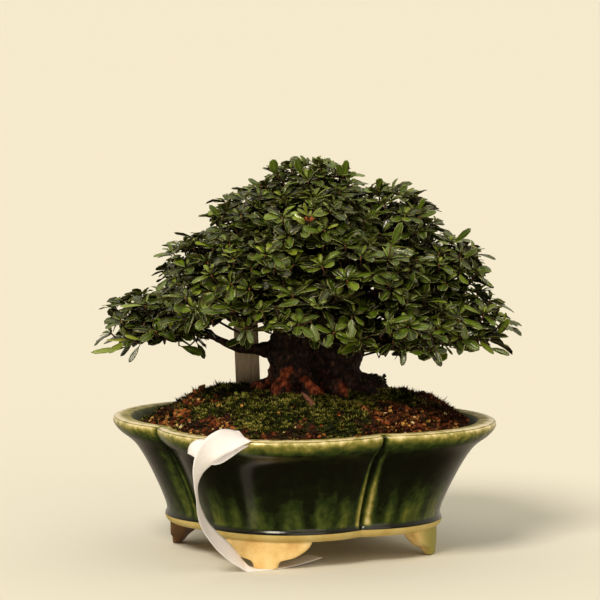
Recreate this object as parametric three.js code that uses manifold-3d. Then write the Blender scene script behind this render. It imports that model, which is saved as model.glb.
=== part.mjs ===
// A satsuki azalea bonsai in its pot: a squat old trunk with surface roots, clouds of small leaves in
// whorls, a mossy mound of soil, a wooden name stake and a paper show strip, in a four-lobed stoneware pot.
// Millimetres, +Z up. The viewer stands on the -Y side, and +X is to the viewer's right.
import * as THREE from "three";
import { mergeVertices } from "three/addons/utils/BufferGeometryUtils.js";
import Module from "manifold-3d";

const wasm = await Module();
wasm.setup();

// Driving dimensions.
const GAP = 0.35; // between pieces that touch
const POT_WIDTH = 292; // across opposite lobes at the rim
const POT_TURN = -16; // degrees: the front lobe looks a little to the viewer's left
const LOBES = 4;
const LOBE_CENTRE = 0.36; // each lobe is an arc about a point this share of the way out
const LOBE_ARC = 1 - LOBE_CENTRE;
const POT_SIDES = 40;
const FOOT_HEIGHT = 20;
const FLOOR_TOP = 30;
const RIM_TOP = 100.3;
const SOIL_EDGE = 93.5; // where the soil meets the pot's inner wall
const MOUND_TOP = 122;
const PAPER = 0.7; // thickness of the strip, which the front foot stands on
const LEAF = 15.5; // length of a middling leaf
const LEAF_HALF_WIDTH = 3.3;
const LEAF_RIB = 0.65; // half the thickness of a blade at its rib
const STEM = 15; // from a whorl down into its cloud's core

// Helpers.
const degrees = THREE.MathUtils.degToRad;
const mix = THREE.MathUtils.lerp;

// A repeatable draw of numbers from 0 to 1.
function dice(seed) {
  let state = seed >>> 0;
  return () => {
    state = (Math.imul(state, 1664525) + 1013904223) >>> 0;
    return state / 4294967296;
  };
}

function solid(geometry) {
  const bare = geometry.clone();
  bare.deleteAttribute("normal");
  bare.deleteAttribute("uv");
  const merged = mergeVertices(bare, 1e-4);
  return new wasm.Manifold(
    new wasm.Mesh({
      numProp: 3,
      vertProperties: merged.attributes.position.array,
      triVerts: new Uint32Array(merged.index.array),
    }),
  );
}

function geometryOf(manifold) {
  const mesh = manifold.getMesh();
  const geometry = new THREE.BufferGeometry();
  geometry.setAttribute(
    "position",
    new THREE.BufferAttribute(new Float32Array(mesh.vertProperties), 3),
  );
  geometry.setIndex(new THREE.BufferAttribute(mesh.triVerts, 1));
  geometry.computeVertexNormals();
  return geometry;
}

function united(solids) {
  return solids.reduce((sum, next) => sum.add(next));
}

// The largest single body of a cut solid: loose scraps are dropped.
function largest(manifold) {
  const bodies = manifold.decompose();
  return bodies.sort((a, b) => b.volume() - a.volume())[0];
}

function finish(color, roughness, metalness = 0) {
  return new THREE.MeshStandardMaterial({ color, roughness, metalness, flatShading: true });
}

function piece(name, manifold, material) {
  const mesh = new THREE.Mesh(geometryOf(manifold), material);
  mesh.name = name;
  return mesh;
}

// The lobed outline: how far out it runs at an angle, as a share of its reach at the middle of a lobe.
function lobed(angle) {
  const step = (2 * Math.PI) / LOBES;
  const off = angle - step * Math.round(angle / step);
  const across = LOBE_CENTRE * Math.sin(off);
  return LOBE_CENTRE * Math.cos(off) + Math.sqrt(LOBE_ARC ** 2 - across ** 2);
}

// A turned profile of [reach, height] points pushed out to the lobed outline, with +Z up.
function lobedTurning(profile, place) {
  const turned = new THREE.LatheGeometry(
    profile.map(([reach, height]) => new THREE.Vector2(reach, height)),
    POT_SIDES,
  );
  turned.rotateX(Math.PI / 2);
  const at = turned.attributes.position;
  for (let i = 0; i < at.count; i++) {
    const x = at.getX(i);
    const y = at.getY(i);
    const share = lobed(Math.atan2(y, x));
    at.setXY(i, x * share, y * share);
    if (place) at.setZ(i, place(at.getX(i), at.getY(i), at.getZ(i)));
  }
  turned.rotateZ(degrees(POT_TURN));
  return solid(turned);
}

// The pot: wall, rolled lip and four cloud feet, fired in one piece.
const REACH = POT_WIDTH / 2;
const INNER_WALL = [
  [131.5, 99],
  [126.5, 91],
  [114, 72],
  [103, 48],
  [93, FLOOR_TOP],
];

function potBody() {
  const outside = [
    [0, FOOT_HEIGHT + 2.5],
    [86, FOOT_HEIGHT + 2.5],
    [88, FOOT_HEIGHT],
    [101, FOOT_HEIGHT],
    [105, 22.5],
    [105.5, 25.5],
    [104.6, 29],
    [106, 37],
    [111.5, 50],
    [119.8, 66],
    [129.8, 81],
    [139, 88],
    [REACH - 2, 92.5],
    [REACH, 97],
    [REACH - 2, 99.6],
    [REACH - 6.5, RIM_TOP],
  ];
  return lobedTurning([...outside, ...INNER_WALL, [0, FLOOR_TOP]]);
}

const BASE_REACH = 105;
const FOOT_ARC = LOBE_ARC * BASE_REACH - 3.2; // the foot stands in a little from the base ring
const FOOT_THICKNESS = [6, 14]; // at the sole and where it meets the base

function footShape(sole) {
  const half = [
    [9.4, sole],
    [11.4, 5.4],
    [14.4, 6.6],
    [20, 7.8],
    [26, 10.8],
    [31.5, 15.6],
    [34, FOOT_HEIGHT + 3.5],
  ];
  const outline = [...half, ...half.map(([t, z]) => [-t, z]).reverse()];
  return new THREE.Shape(outline.map(([t, z]) => new THREE.Vector2(t, z)));
}

function foot(turn, sole) {
  const reach = BASE_REACH + 20;
  const slab = new THREE.ExtrudeGeometry(footShape(sole), { depth: reach, bevelEnabled: false });
  slab.rotateX(Math.PI / 2);
  slab.rotateZ(Math.PI / 2);
  const centre = LOBE_CENTRE * BASE_REACH;
  const drum = (above, below) =>
    solid(
      new THREE.CylinderGeometry(above, below, 3 * FOOT_HEIGHT, 30)
        .rotateX(Math.PI / 2)
        .translate(centre, 0, FOOT_HEIGHT / 2),
    );
  const [thin, thick] = FOOT_THICKNESS;
  const taper = thick - thin;
  const hollow = drum(FOOT_ARC - thick - taper, FOOT_ARC - thin + taper);
  const curved = solid(slab).intersect(drum(FOOT_ARC, FOOT_ARC)).subtract(hollow);
  return curved.rotate([0, 0, turn]);
}

const DRAIN_OFFSET = 42;
const DRAIN_RADIUS = 11;
const drains = [-DRAIN_OFFSET, DRAIN_OFFSET];

function pot() {
  const front = 3; // the lobe that faces the viewer stands on the paper strip
  const feet = Array.from({ length: LOBES }, (_, k) =>
    foot((360 / LOBES) * k + POT_TURN, k === front ? PAPER + GAP : 0),
  );
  const holes = drains.map((x) =>
    solid(
      new THREE.CylinderGeometry(DRAIN_RADIUS, DRAIN_RADIUS, 30, 20)
        .rotateX(Math.PI / 2)
        .translate(x, 0, 26),
    ),
  );
  return united([potBody(), ...feet]).subtract(united(holes));
}

// A square of plastic mesh over each drain hole, which keeps the soil in.
const SCREEN = 32;
const SCREEN_THICKNESS = 1.2;

function drainScreen(x) {
  const pitch = 4.6;
  const opening = 6.4;
  const middle = FLOOR_TOP + GAP + SCREEN_THICKNESS / 2;
  const block = (side, height, at) => solid(new THREE.BoxGeometry(side, side, height).translate(...at));
  const holes = [];
  for (const i of [-1, 1])
    for (const j of [-1, 1]) holes.push(block(opening, 5, [x + i * pitch, j * pitch, middle]));
  return block(SCREEN, SCREEN_THICKNESS, [x, 0, middle]).subtract(united(holes));
}

// The mound's height: flat round the trunk, longer on the right, steep on the left.
function mound(x, y) {
  const out = Math.hypot(x, y) / (1 + 0.07 * (x / REACH));
  const stops = [
    [0, MOUND_TOP],
    [52, MOUND_TOP],
    [66, 118.5],
    [82, 113.5],
    [98, 107.5],
    [112, 101.5],
    [122, 96.5],
    [131, SOIL_EDGE],
  ];
  const k = stops.findIndex(([reach]) => reach > out);
  if (k < 0) return SOIL_EDGE;
  const [r0, z0] = stops[k - 1];
  const [r1, z1] = stops[k];
  const lumps = 1.3 * Math.sin(x * 0.11 + 1) * Math.cos(y * 0.13) * Math.min(1, (131 - out) / 30);
  return mix(z0, z1, (out - r0) / (r1 - r0)) + lumps;
}

function soilBody() {
  const floor = FLOOR_TOP + SCREEN_THICKNESS + 2 * GAP;
  const wall = [
    [91.5, floor],
    [102.2, 48],
    [113.2, 72],
    [125.6, 91],
    [126.8, SOIL_EDGE],
  ];
  const top = [111, 93, 74, 50, 0].map((reach) => [reach, MOUND_TOP]);
  return lobedTurning([[0, floor], ...wall, ...top], (x, y, z) => {
    if (z < MOUND_TOP) return z;
    const there = new THREE.Vector2(x, y).rotateAround(new THREE.Vector2(), degrees(POT_TURN));
    return mound(there.x, there.y);
  });
}

// Wood. A limb is a fluted taper swept along a smooth line through its points.
function limb(points, radii, sides = 5, rings = 4, grow = 0, flute = 0) {
  const line = new THREE.CatmullRomCurve3(points.map((p) => new THREE.Vector3(...p)));
  const frames = line.computeFrenetFrames(rings);
  const vertices = [];
  const wider = grow / Math.cos(Math.PI / sides);
  for (let i = 0; i <= rings; i++) {
    const u = i / rings;
    const centre = line.getPointAt(u);
    if (i === 0) centre.addScaledVector(frames.tangents[0], -grow);
    if (i === rings) centre.addScaledVector(frames.tangents[rings], grow);
    const k = u * (radii.length - 1);
    const low = Math.min(Math.floor(k), radii.length - 2);
    const radius = mix(radii[low], radii[low + 1], k - low);
    for (let j = 0; j < sides; j++) {
      const angle = (2 * Math.PI * j) / sides;
      const wave = 1 + flute * (Math.cos(3 * angle + 2.4 * u) + 0.6 * Math.sin(5 * angle - 3 * u));
      const across = frames.normals[i].clone().multiplyScalar(Math.cos(angle));
      across.addScaledVector(frames.binormals[i], Math.sin(angle));
      vertices.push(centre.clone().addScaledVector(across, radius * wave + wider));
    }
  }
  const tip = grow * 2;
  vertices.push(line.getPointAt(0).addScaledVector(frames.tangents[0], -tip));
  vertices.push(line.getPointAt(1).addScaledVector(frames.tangents[rings], tip));
  const faces = [];
  const start = vertices.length - 2;
  for (let j = 0; j < sides; j++) {
    const n = (j + 1) % sides;
    for (let i = 0; i < rings; i++) {
      const [a, b, c, d] = [i * sides + j, i * sides + n, (i + 1) * sides + n, (i + 1) * sides + j];
      faces.push(a, b, c, a, c, d);
    }
    faces.push(start, n, j, start + 1, rings * sides + j, rings * sides + n);
  }
  const geometry = new THREE.BufferGeometry().setFromPoints(vertices);
  geometry.setIndex(faces);
  const made = solid(geometry);
  return made.volume() < 0 ? solid(geometry.setIndex(faces.reverse())) : made;
}

const TRUNK_FOOT = 106; // how deep the trunk reaches into the mound

// Each cloud of leaves: name, centre, radii, where its limb leaves the trunk and how thick it is there.
const CLOUDS = [
  ["apex", [5, 0, 267], [39, 38, 25], [8, 0, 232], 6],
  ["crown_left", [-31, -8, 247], [38, 40, 26], [5, -2, 208], 5],
  ["crown_right", [60, -4, 246], [42, 40, 26], [30, 4, 205], 5.5],
  ["crown_front", [12, -45, 244], [41, 35, 27], [7, -5, 208], 5],
  ["crown_back", [14, 46, 244], [44, 37, 27], [8, 6, 208], 5],
  ["shoulder_left", [-69, -6, 211], [37, 43, 28], [0, -2, 178], 6],
  ["shoulder_front_left", [-36, -64, 214], [40, 37, 28], [-4, -8, 178], 5],
  ["shoulder_front_right", [40, -68, 213], [43, 36, 29], [20, -6, 178], 5],
  ["shoulder_right", [96, -4, 210], [40, 43, 29], [28, 4, 188], 6],
  ["shoulder_back_right", [60, 62, 212], [45, 41, 29], [22, 10, 180], 5],
  ["shoulder_back_left", [-36, 64, 212], [43, 41, 29], [0, 8, 180], 5],
  ["skirt_left", [-109, -4, 171], [41, 42, 24], [-22, 0, 150], 5.5],
  ["skirt_front_left", [-60, -60, 188], [41, 37, 20], [-5, -10, 176], 5],
  ["skirt_front", [2, -92, 183], [42, 33, 26], [6, -16, 160], 4.5],
  ["skirt_front_right", [68, -72, 173], [43, 38, 30], [30, -12, 158], 5],
  ["skirt_right", [110, -10, 172], [42, 46, 31], [38, 2, 156], 6],
  ["skirt_back_right", [82, 70, 172], [44, 42, 30], [32, 14, 158], 5.5],
  ["skirt_back", [10, 95, 179], [45, 35, 27], [12, 16, 160], 5],
  ["skirt_back_left", [-68, 66, 184], [45, 42, 22], [-4, 12, 173], 5.5],
];

function limbTo([, centre, radii, start, thick]) {
  const under = [centre[0] * 0.93 + start[0] * 0.07, centre[1] * 0.93, centre[2] - radii[2] * 0.42];
  const along = (t, sag) => start.map((s, i) => mix(s, under[i], t) - (i === 2 ? sag : 0));
  const rise = Math.min(6, (under[2] - start[2]) * 0.18);
  return [[start, along(0.35, rise), along(0.7, rise * 0.8), under], [thick, thick * 0.8, thick * 0.5]];
}

function wood(grow = 0) {
  const trunk = [
    limb(
      [[-4, -2, TRUNK_FOOT], [-3, -2, 126], [-2, -2, 142], [0, -1, 158], [3, 0, 180], [7, 0, 206], [9, 0, 236], [6, 0, 260]],
      [27, 25.5, 24.5, 22, 17.5, 12.5, 8, 3.5],
      11, 8, grow, 0.05,
    ),
    limb(
      [[20, 2, TRUNK_FOOT], [20, 2, 126], [21, 2, 145], [23, 3, 162], [28, 4, 184], [38, 3, 208]],
      [25, 23, 22.5, 19, 12, 6],
      11, 6, grow, 0.06,
    ),
  ];
  // Surface roots: [bearing from the trunk's middle, reach, thickness]
  const roots = [
    [-168, 52, 8], [-128, 45, 9], [-97, 44, 8.5], [-64, 46, 7.5], [-28, 54, 7],
    [12, 56, 8], [58, 50, 7], [98, 48, 8], [138, 52, 7.5],
  ];
  const spread = roots.map(([bearing, reach, thick]) => {
    const [c, s] = [Math.cos(degrees(bearing)), Math.sin(degrees(bearing))];
    const at = (r, z) => [8 + r * c, r * s * 0.92, z];
    return limb(
      [at(15, 142), at(reach * 0.55, 130), at(reach * 0.78, 122.5), at(reach, 117)],
      [thick * 1.15, thick, thick * 0.8, thick * 0.5],
      6, 3, grow, 0.05,
    );
  });
  const limbs = CLOUDS.map((cloud) => {
    const [points, radii] = limbTo(cloud);
    return limb(points, radii, 5, 3, grow);
  });
  return united([...trunk, ...spread, ...limbs]);
}

// A whorl of leaves at a shoot's tip, opening along +Z: a star of folded blades about a short stem.
function whorl(draw, leaves, length, stem, grow = 0) {
  const points = [];
  const add = (out, angle, side, height) => {
    const [c, s] = [Math.cos(angle), Math.sin(angle)];
    points.push(new THREE.Vector3(out * c - side * s, out * s + side * c, height));
    return points.length - 1;
  };
  const hub = 2.1 + grow;
  const top = add(0, 0, 0, 1.1 + grow);
  const root = add(0, 0, 0, -stem);
  const turn = draw() * 2 * Math.PI;
  const angles = [];
  for (let i = 0; i < leaves; i++)
    angles.push(turn + ((i + 0.36 * (draw() - 0.5)) * 2 * Math.PI) / leaves);
  const notch = angles.map((angle, i) => {
    const before = i ? angles[i - 1] : angles[leaves - 1] - 2 * Math.PI;
    return add(hub, (angle + before) / 2, 0, 0);
  });
  const faces = [];
  angles.forEach((angle, i) => {
    const long = length * (0.78 + 0.42 * draw()) + grow;
    const rise = degrees(mix(12, 52, draw()));
    const wide = LEAF_HALF_WIDTH * (0.85 + 0.3 * draw()) + grow;
    const rib = LEAF_RIB + grow;
    const out = (t) => hub * 0.6 + long * t * Math.cos(rise * (1 - 0.45 * t));
    const up = (t) => long * t * Math.sin(rise * (1 - 0.5 * t));
    const [broad, fold] = [0.6, 0.28];
    const right = add(out(broad), angle, -wide, up(broad) + wide * fold);
    const left = add(out(broad), angle, wide, up(broad) + wide * fold);
    const over = add(out(broad), angle, 0, up(broad) + rib);
    const under = add(out(broad), angle, 0, up(broad) - rib);
    const [tipRight, tipLeft] = [-0.3, 0.3].map((w) => add(out(1), angle, w * wide, up(1)));
    const [n0, n1] = [notch[i], notch[(i + 1) % leaves]];
    const blade = [
      [n0, right, over], [over, left, n1],
      [right, tipRight, over], [over, tipRight, tipLeft], [over, tipLeft, left],
    ];
    for (const face of blade) {
      faces.push(...face);
      faces.push(...face.map((v) => (v === over ? under : v)).reverse());
    }
    faces.push(top, n0, over, top, over, n1, n1, under, n0, n1, n0, root);
  });
  const geometry = new THREE.BufferGeometry().setFromPoints(points);
  geometry.setIndex(faces);
  return geometry;
}

// Evenly spread directions over a cloud, from its crown to a little under its waist.
const SHOOT_PLACES = 13;
const SHOOTS_PER_CLOUD = 5;
const LOWEST_SHOOT = -0.42;
const GOLDEN_TURN = Math.PI * (3 - Math.sqrt(5));

function shootsOf([, centre, radii], seed) {
  const draw = dice(seed);
  const shoots = [];
  for (let k = 0; k < SHOOT_PLACES; k++) {
    const i = (k * 5) % SHOOT_PLACES; // in turn from all round the cloud
    const z = mix(0.97, LOWEST_SHOOT, (i + 0.5 * draw()) / SHOOT_PLACES);
    const angle = i * GOLDEN_TURN + seed + 0.5 * draw();
    const flat = Math.sqrt(1 - z * z);
    const way = new THREE.Vector3(flat * Math.cos(angle), flat * Math.sin(angle), z);
    const hub = new THREE.Vector3(...centre).add(
      way.clone().multiply(new THREE.Vector3(...radii)).multiplyScalar(0.9),
    );
    const axis = way.clone().divide(new THREE.Vector3(...radii)).normalize();
    axis.z += 0.6; // turned up to the light
    shoots.push({ hub, axis: axis.normalize(), leaves: 5 + Math.floor(2 * draw()), seed: Math.floor(draw() * 1e6) });
  }
  return shoots;
}

const CORE_SHARE = 0.78; // the dark inner mass of twigs and old leaves that the shoots stand out of

function coreOf([, centre, radii], seed, grow = 0) {
  const draw = dice(seed + 77);
  const ball = mergeVertices(new THREE.IcosahedronGeometry(1, 1).deleteAttribute("normal").deleteAttribute("uv"), 1e-4);
  const at = ball.attributes.position;
  for (let i = 0; i < at.count; i++) {
    const lump = CORE_SHARE * (0.84 + 0.3 * draw());
    at.setXYZ(
      i,
      centre[0] + at.getX(i) * (radii[0] * lump + grow),
      centre[1] + at.getY(i) * (radii[1] * lump + grow),
      centre[2] + at.getZ(i) * (radii[2] * lump * (at.getZ(i) < 0 ? 0.7 : 1) + grow),
    );
  }
  return solid(ball);
}

function insideOther(hub, own) {
  return CLOUDS.some(([name, centre, radii]) => {
    if (name === own) return false;
    const off = new THREE.Vector3(...centre).sub(hub).divide(new THREE.Vector3(...radii));
    return off.length() < 0.86;
  });
}

function placedWhorl(shoot, grow) {
  const draw = dice(shoot.seed);
  const star = whorl(draw, shoot.leaves, LEAF, STEM, grow);
  const turn = new THREE.Quaternion().setFromUnitVectors(new THREE.Vector3(0, 0, 1), shoot.axis);
  return solid(star.applyQuaternion(turn).translate(...shoot.hub.toArray()));
}

function clouds() {
  const standing = wood(GAP);
  const grownCores = CLOUDS.map((cloud, k) => coreOf(cloud, k + 1, GAP * 1.5));
  const taken = []; // grown whorls and cores that later clouds keep clear of
  const made = [];
  CLOUDS.forEach((cloud, k) => {
    let body = coreOf(cloud, k + 1);
    grownCores.slice(0, k).forEach((other) => (body = body.subtract(other)));
    const others = [...taken, ...grownCores.filter((_, j) => j !== k), standing];
    const mine = [];
    for (const shoot of shootsOf(cloud, k + 1)) {
      if (mine.length === SHOOTS_PER_CLOUD) break;
      if (insideOther(shoot.hub, cloud[0])) continue;
      const grown = placedWhorl(shoot, GAP);
      if (others.some((other) => !grown.intersect(other).isEmpty())) continue;
      if (mine.some((other) => grown.intersect(other).volume() > 12)) continue;
      mine.push(grown);
      body = body.add(placedWhorl(shoot, 0));
    }
    taken.push(...mine);
    body = largest(body.subtract(standing));
    made.push([cloud[0], body, mine.length]);
  });
  return made;
}

// The name stake: a planed strip of bare wood, its foot in a plain slot in the mound.
const STAKE = { width: 16, thickness: 1.8, foot: 98, top: 172, x: -42, y: 19, lean: -2.2 };

function stake(grow = 0) {
  const height = STAKE.top - STAKE.foot;
  const [w, h] = [STAKE.width / 2 + grow, height + 2 * grow];
  const outline = new THREE.Shape();
  outline.moveTo(-w * 0.45, 0);
  outline.lineTo(w * 0.45, 0);
  outline.lineTo(w, 9);
  outline.lineTo(w, h - 2);
  outline.lineTo(w - 2, h);
  outline.lineTo(-w + 2, h);
  outline.lineTo(-w, h - 2);
  outline.lineTo(-w, 9);
  const depth = STAKE.thickness + 2 * grow;
  const slat = new THREE.ExtrudeGeometry(outline, { depth, bevelEnabled: false });
  slat.translate(0, -grow, -depth / 2).rotateX(Math.PI / 2).rotateY(degrees(STAKE.lean));
  return solid(slat.translate(STAKE.x, STAKE.y, STAKE.foot));
}

// The paper strip: pinned on the rim, it hangs in a slack half twist and runs under the front foot.
// Each row is a point of its middle line and the direction across its width.
const STRIP_WIDTH = 18;
const STRIP_LINE = [
  [[-42, -134, 103.5], [0.34, -0.84, -0.42]],
  [[-49, -139, 103], [0.53, -0.56, -0.63]],
  [[-56.5, -145, 100.7], [0.68, -0.05, -0.73]],
  [[-64, -150, 97], [0.7, 0.15, -0.7]],
  [[-69.5, -153, 91.5], [0.62, 0.48, -0.62]],
  [[-73, -153, 84], [0.46, 0.77, -0.44]],
  [[-75, -150, 74.5], [0.28, 0.93, -0.25]],
  [[-75.5, -145, 64], [0.12, 0.98, -0.15]],
  [[-73, -138, 51], [0.14, 0.98, -0.1]],
  [[-68, -130, 38], [0.23, 0.97, 0]],
  [[-60.5, -120.5, 25], [0.26, 0.96, 0.08]],
  [[-51.5, -110.5, 13], [0.2, 0.97, 0.06]],
  [[-45, -103, 4], [0.1, 0.99, -0.02]],
  [[-37.5, -97.5, PAPER / 2], [-0.05, 1, 0]],
  [[-26.5, -91.5, PAPER / 2], [-0.3, 0.95, 0]],
  [[-14, -83.5, PAPER / 2], [-0.5, 0.87, 0]],
  [[2, -70, PAPER / 2], [-0.65, 0.76, 0]],
];

function paperStrip() {
  const middle = new THREE.CatmullRomCurve3(STRIP_LINE.map(([p]) => new THREE.Vector3(...p)));
  const across = new THREE.CatmullRomCurve3(STRIP_LINE.map(([, a]) => new THREE.Vector3(...a)));
  const steps = 34;
  const vertices = [];
  for (let i = 0; i <= steps; i++) {
    const u = i / steps;
    const centre = middle.getPoint(u);
    const along = middle.getTangent(u);
    const side = across.getPoint(u);
    side.addScaledVector(along, -side.dot(along)).normalize();
    const face = along.clone().cross(side).normalize();
    for (const [s, f] of [[-1, -1], [1, -1], [1, 1], [-1, 1]]) {
      const corner = centre.clone().addScaledVector(side, (s * STRIP_WIDTH) / 2);
      corner.addScaledVector(face, (f * PAPER) / 2);
      if (centre.z < 4) corner.z = Math.max(corner.z, 0);
      if (centre.z <= PAPER / 2 + 0.01) corner.z = face.z * f > 0 ? PAPER : 0;
      vertices.push(corner);
    }
  }
  const faces = [0, 2, 1, 0, 3, 2];
  for (let i = 0; i < steps; i++)
    for (let j = 0; j < 4; j++) {
      const n = (j + 1) % 4;
      const [a, b, c, d] = [i * 4 + j, i * 4 + n, (i + 1) * 4 + n, (i + 1) * 4 + j];
      faces.push(a, b, c, a, c, d);
    }
  const last = steps * 4;
  faces.push(last, last + 1, last + 2, last, last + 2, last + 3);
  const geometry = new THREE.BufferGeometry().setFromPoints(vertices);
  geometry.setIndex(faces);
  const made = solid(geometry);
  return made.volume() < 0 ? solid(geometry.setIndex(faces.reverse())) : made;
}

// Assembly.
const materials = {
  glaze: finish(0x24401b, 0.18),
  plastic: finish(0x1b1b1b, 0.6),
  soil: finish(0x4b2c1a, 0.95),
  bark: finish(0x3a2016, 0.85),
  leaf: finish(0x31491d, 0.4),
  stake: finish(0xb9a37c, 0.7),
  paper: finish(0xf4efe6, 0.8),
};

const bonsai = new THREE.Group();
const trunk = wood();
const trunkHole = wood(GAP);
const stakeSlot = stake(GAP);
bonsai.add(piece("pot", pot(), materials.glaze));
drains.forEach((x, i) => bonsai.add(piece(`drain_mesh_${i + 1}`, drainScreen(x), materials.plastic)));
bonsai.add(piece("soil", largest(soilBody().subtract(trunkHole).subtract(stakeSlot)), materials.soil));
bonsai.add(piece("trunk", trunk, materials.bark));
bonsai.add(piece("name_stake", stake(), materials.stake));
bonsai.add(piece("show_strip", paperStrip(), materials.paper));
for (const [name, body] of clouds()) bonsai.add(piece(`leaves_${name}`, body, materials.leaf));

// The frame's origin is under the middle of the whole, on the surface it stands on.
const middle = new THREE.Box3().setFromObject(bonsai).getCenter(new THREE.Vector3());
bonsai.position.set(-middle.x, -middle.y, 0);

export default bonsai;
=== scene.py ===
"""The looks of a satsuki azalea bonsai in a four-lobed green pot, with its name stake and show strip."""

import itertools
import math

import bpy
import numpy as np
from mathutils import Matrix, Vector


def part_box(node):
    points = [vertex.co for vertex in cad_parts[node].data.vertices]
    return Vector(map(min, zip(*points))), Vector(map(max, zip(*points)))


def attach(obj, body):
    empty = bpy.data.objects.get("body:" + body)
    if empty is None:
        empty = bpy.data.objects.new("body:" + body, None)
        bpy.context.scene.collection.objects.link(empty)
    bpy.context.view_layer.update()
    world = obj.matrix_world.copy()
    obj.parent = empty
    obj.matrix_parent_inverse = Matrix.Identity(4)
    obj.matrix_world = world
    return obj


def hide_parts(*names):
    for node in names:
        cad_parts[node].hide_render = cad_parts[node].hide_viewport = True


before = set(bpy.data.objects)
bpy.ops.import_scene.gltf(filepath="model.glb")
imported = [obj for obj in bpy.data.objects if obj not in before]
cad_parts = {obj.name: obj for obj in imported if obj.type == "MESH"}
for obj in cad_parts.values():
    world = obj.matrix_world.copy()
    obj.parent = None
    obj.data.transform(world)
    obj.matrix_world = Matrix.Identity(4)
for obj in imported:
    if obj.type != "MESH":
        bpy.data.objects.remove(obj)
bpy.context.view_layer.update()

# Every size below is in millimetres about the pot's own axis, with the ground at zero.
MM = 0.001
QUARTER = math.pi / 2
low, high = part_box("pot")
AXIS = np.array([(low.x + high.x) / 2 / MM, (low.y + high.y) / 2 / MM, 0.0])

# The camera stands where the rim's and the base ring's ellipses put the photographer.
AIM = (-2.25, 0, 188)
DISTANCE = 2850
ELEVATION = 5.6
LENS = 228

# The paper that the show strip is made of. The pot's front foot stands on it.
PAPER = 0.3
STRIP_WIDTH = 18

# The pot.
POT_TURN = math.radians(-16)
LOBE_CENTRE = 0.36  # each lobe is an arc about a point this share of the way out
LOBE_ARC = 1 - LOBE_CENTRE
LEFT_CREASE = 2.5 * QUARTER
LOBE_STEPS = 56  # points along a lobe, closest together beside its creases
BASE_REACH = 105
RIM_REACH = 146
BARE_BAND = 25.3  # the height up to which the base ring was wiped clean of glaze
WALL = [  # reach and height, up the outside from the base ring to the rim and down the inside
    (86, 22.5), (88, 20.6), (90, 20), (99, 20), (102.5, 20.8), (104.8, 22.8), (105.6, 25.2), (105.4, 27.4),
    (104.5, 29.2), (104.4, 31.5), (105.2, 34.5), (106.8, 39), (111.2, 49), (119.6, 65.5), (127.6, 78),
    (133.6, 84), (139.5, 88.2), (143.4, 91.8), (145.6, 95), (146, 97.4), (144.9, 99.4), (142.2, 100.2),
    (138.8, 100.3), (135.6, 100.2), (133, 99.7), (131.2, 98.4), (129, 95), (126.5, 91), (120.6, 82),
    (114, 72), (103, 48), (93, 30),
]
CURVE_STEPS = 3  # points on a curve for each one in its table
OUTSIDE = 20 * CURVE_STEPS  # rows of points up the outside of the wall
FLOOR = (22.5, 30)  # heights of the floor's underside and top
GROOVE = {"depth": 2.1, "half": 1.5}  # the crease between two lobes
RIDGE = {"height": 0.35, "away": 4.2, "half": 2.2}  # the swelling on both sides of a crease
SOIL_REACH = 126.8
SOIL_EDGE = 93.5
SOIL_SIDE = [(125.6, 91), (113.2, 72), (102.2, 48), (91.5, 31.9)]  # reach and height, down the pot's wall
DRAINS = [-42, 42]
DRAIN_RADIUS = 11
DRILL = (15, 40)  # heights between which a drain hole is cut
FOOT_ARC = LOBE_ARC * BASE_REACH - 3.2
FOOT_POINTS = 64
FOOT_ROUNDING = 2.4
FOOT_OUTLINE = [  # half width and height of a cloud foot, from its sole up into the base
    (8.4, 0), (9.4, 0.9), (9.9, 3), (11.0, 5.0), (12.6, 6.1), (14.6, 6.7), (20, 7.9), (23.6, 9.1), (27.2, 11),
    (30.6, 13.2), (33.6, 15.8), (35.6, 19), (36.4, 23.5),
]
FEET = [  # height of the sole, breadth, share glazed and share darkened by smoke stain and painted shade, the right foot first
    (0.0, 0.8, 0.9, 0.0), (0.0, 1.0, 0.0, 0.0), (0.0, 0.8, 0.0, 0.95), (PAPER, 1.0, 0.0, 0.0),
]

# The mound of soil: distance from the middle and height.
MOUND = [(0, 119.5), (50, 119.5), (66, 116.6), (82, 112.4), (98, 107), (112, 101.3), (122, 96.5), (131, 93.5)]

TRUNK_MIDDLE = 8  # how far right of the pot's middle the trunk stands

# Bare roots on the front of the trunk: the upper and lower end of each, as seen from the front.
BARE_ROOTS = [((-9, 138), (-24, 119)), ((2, 131), (9, 121)), ((-33, 124), (-40, 119)), ((30, 126), (32, 122))]

# Clouds of leaves: centre and radii.
CLOUDS = {
    name: (np.array(centre, float), np.array(radii, float))
    for name, centre, radii in [
        ("apex", (5, 0, 267), (39, 38, 25)),
        ("crown_left", (-31, -8, 247), (38, 40, 26)),
        ("crown_right", (60, -4, 246), (42, 40, 26)),
        ("crown_front", (12, -45, 244), (41, 35, 27)),
        ("crown_back", (14, 46, 244), (44, 37, 27)),
        ("shoulder_left", (-69, -6, 211), (37, 43, 28)),
        ("shoulder_front_left", (-36, -64, 214), (40, 37, 28)),
        ("shoulder_front_right", (40, -68, 213), (43, 36, 29)),
        ("shoulder_right", (96, -4, 210), (40, 43, 29)),
        ("shoulder_back_right", (60, 62, 212), (45, 41, 29)),
        ("shoulder_back_left", (-36, 64, 212), (43, 41, 29)),
        ("skirt_left", (-109, -4, 171), (41, 42, 24)),
        ("skirt_front_left", (-60, -60, 188), (41, 37, 20)),
        ("skirt_front", (2, -92, 183), (42, 33, 26)),
        ("skirt_front_right", (68, -72, 173), (43, 38, 30)),
        ("skirt_right", (110, -10, 172), (42, 46, 31)),
        ("skirt_back_right", (82, 70, 172), (44, 42, 30)),
        ("skirt_back", (10, 95, 179), (45, 35, 27)),
        ("skirt_back_left", (-68, 66, 184), (45, 42, 22)),
    ]
}
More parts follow.
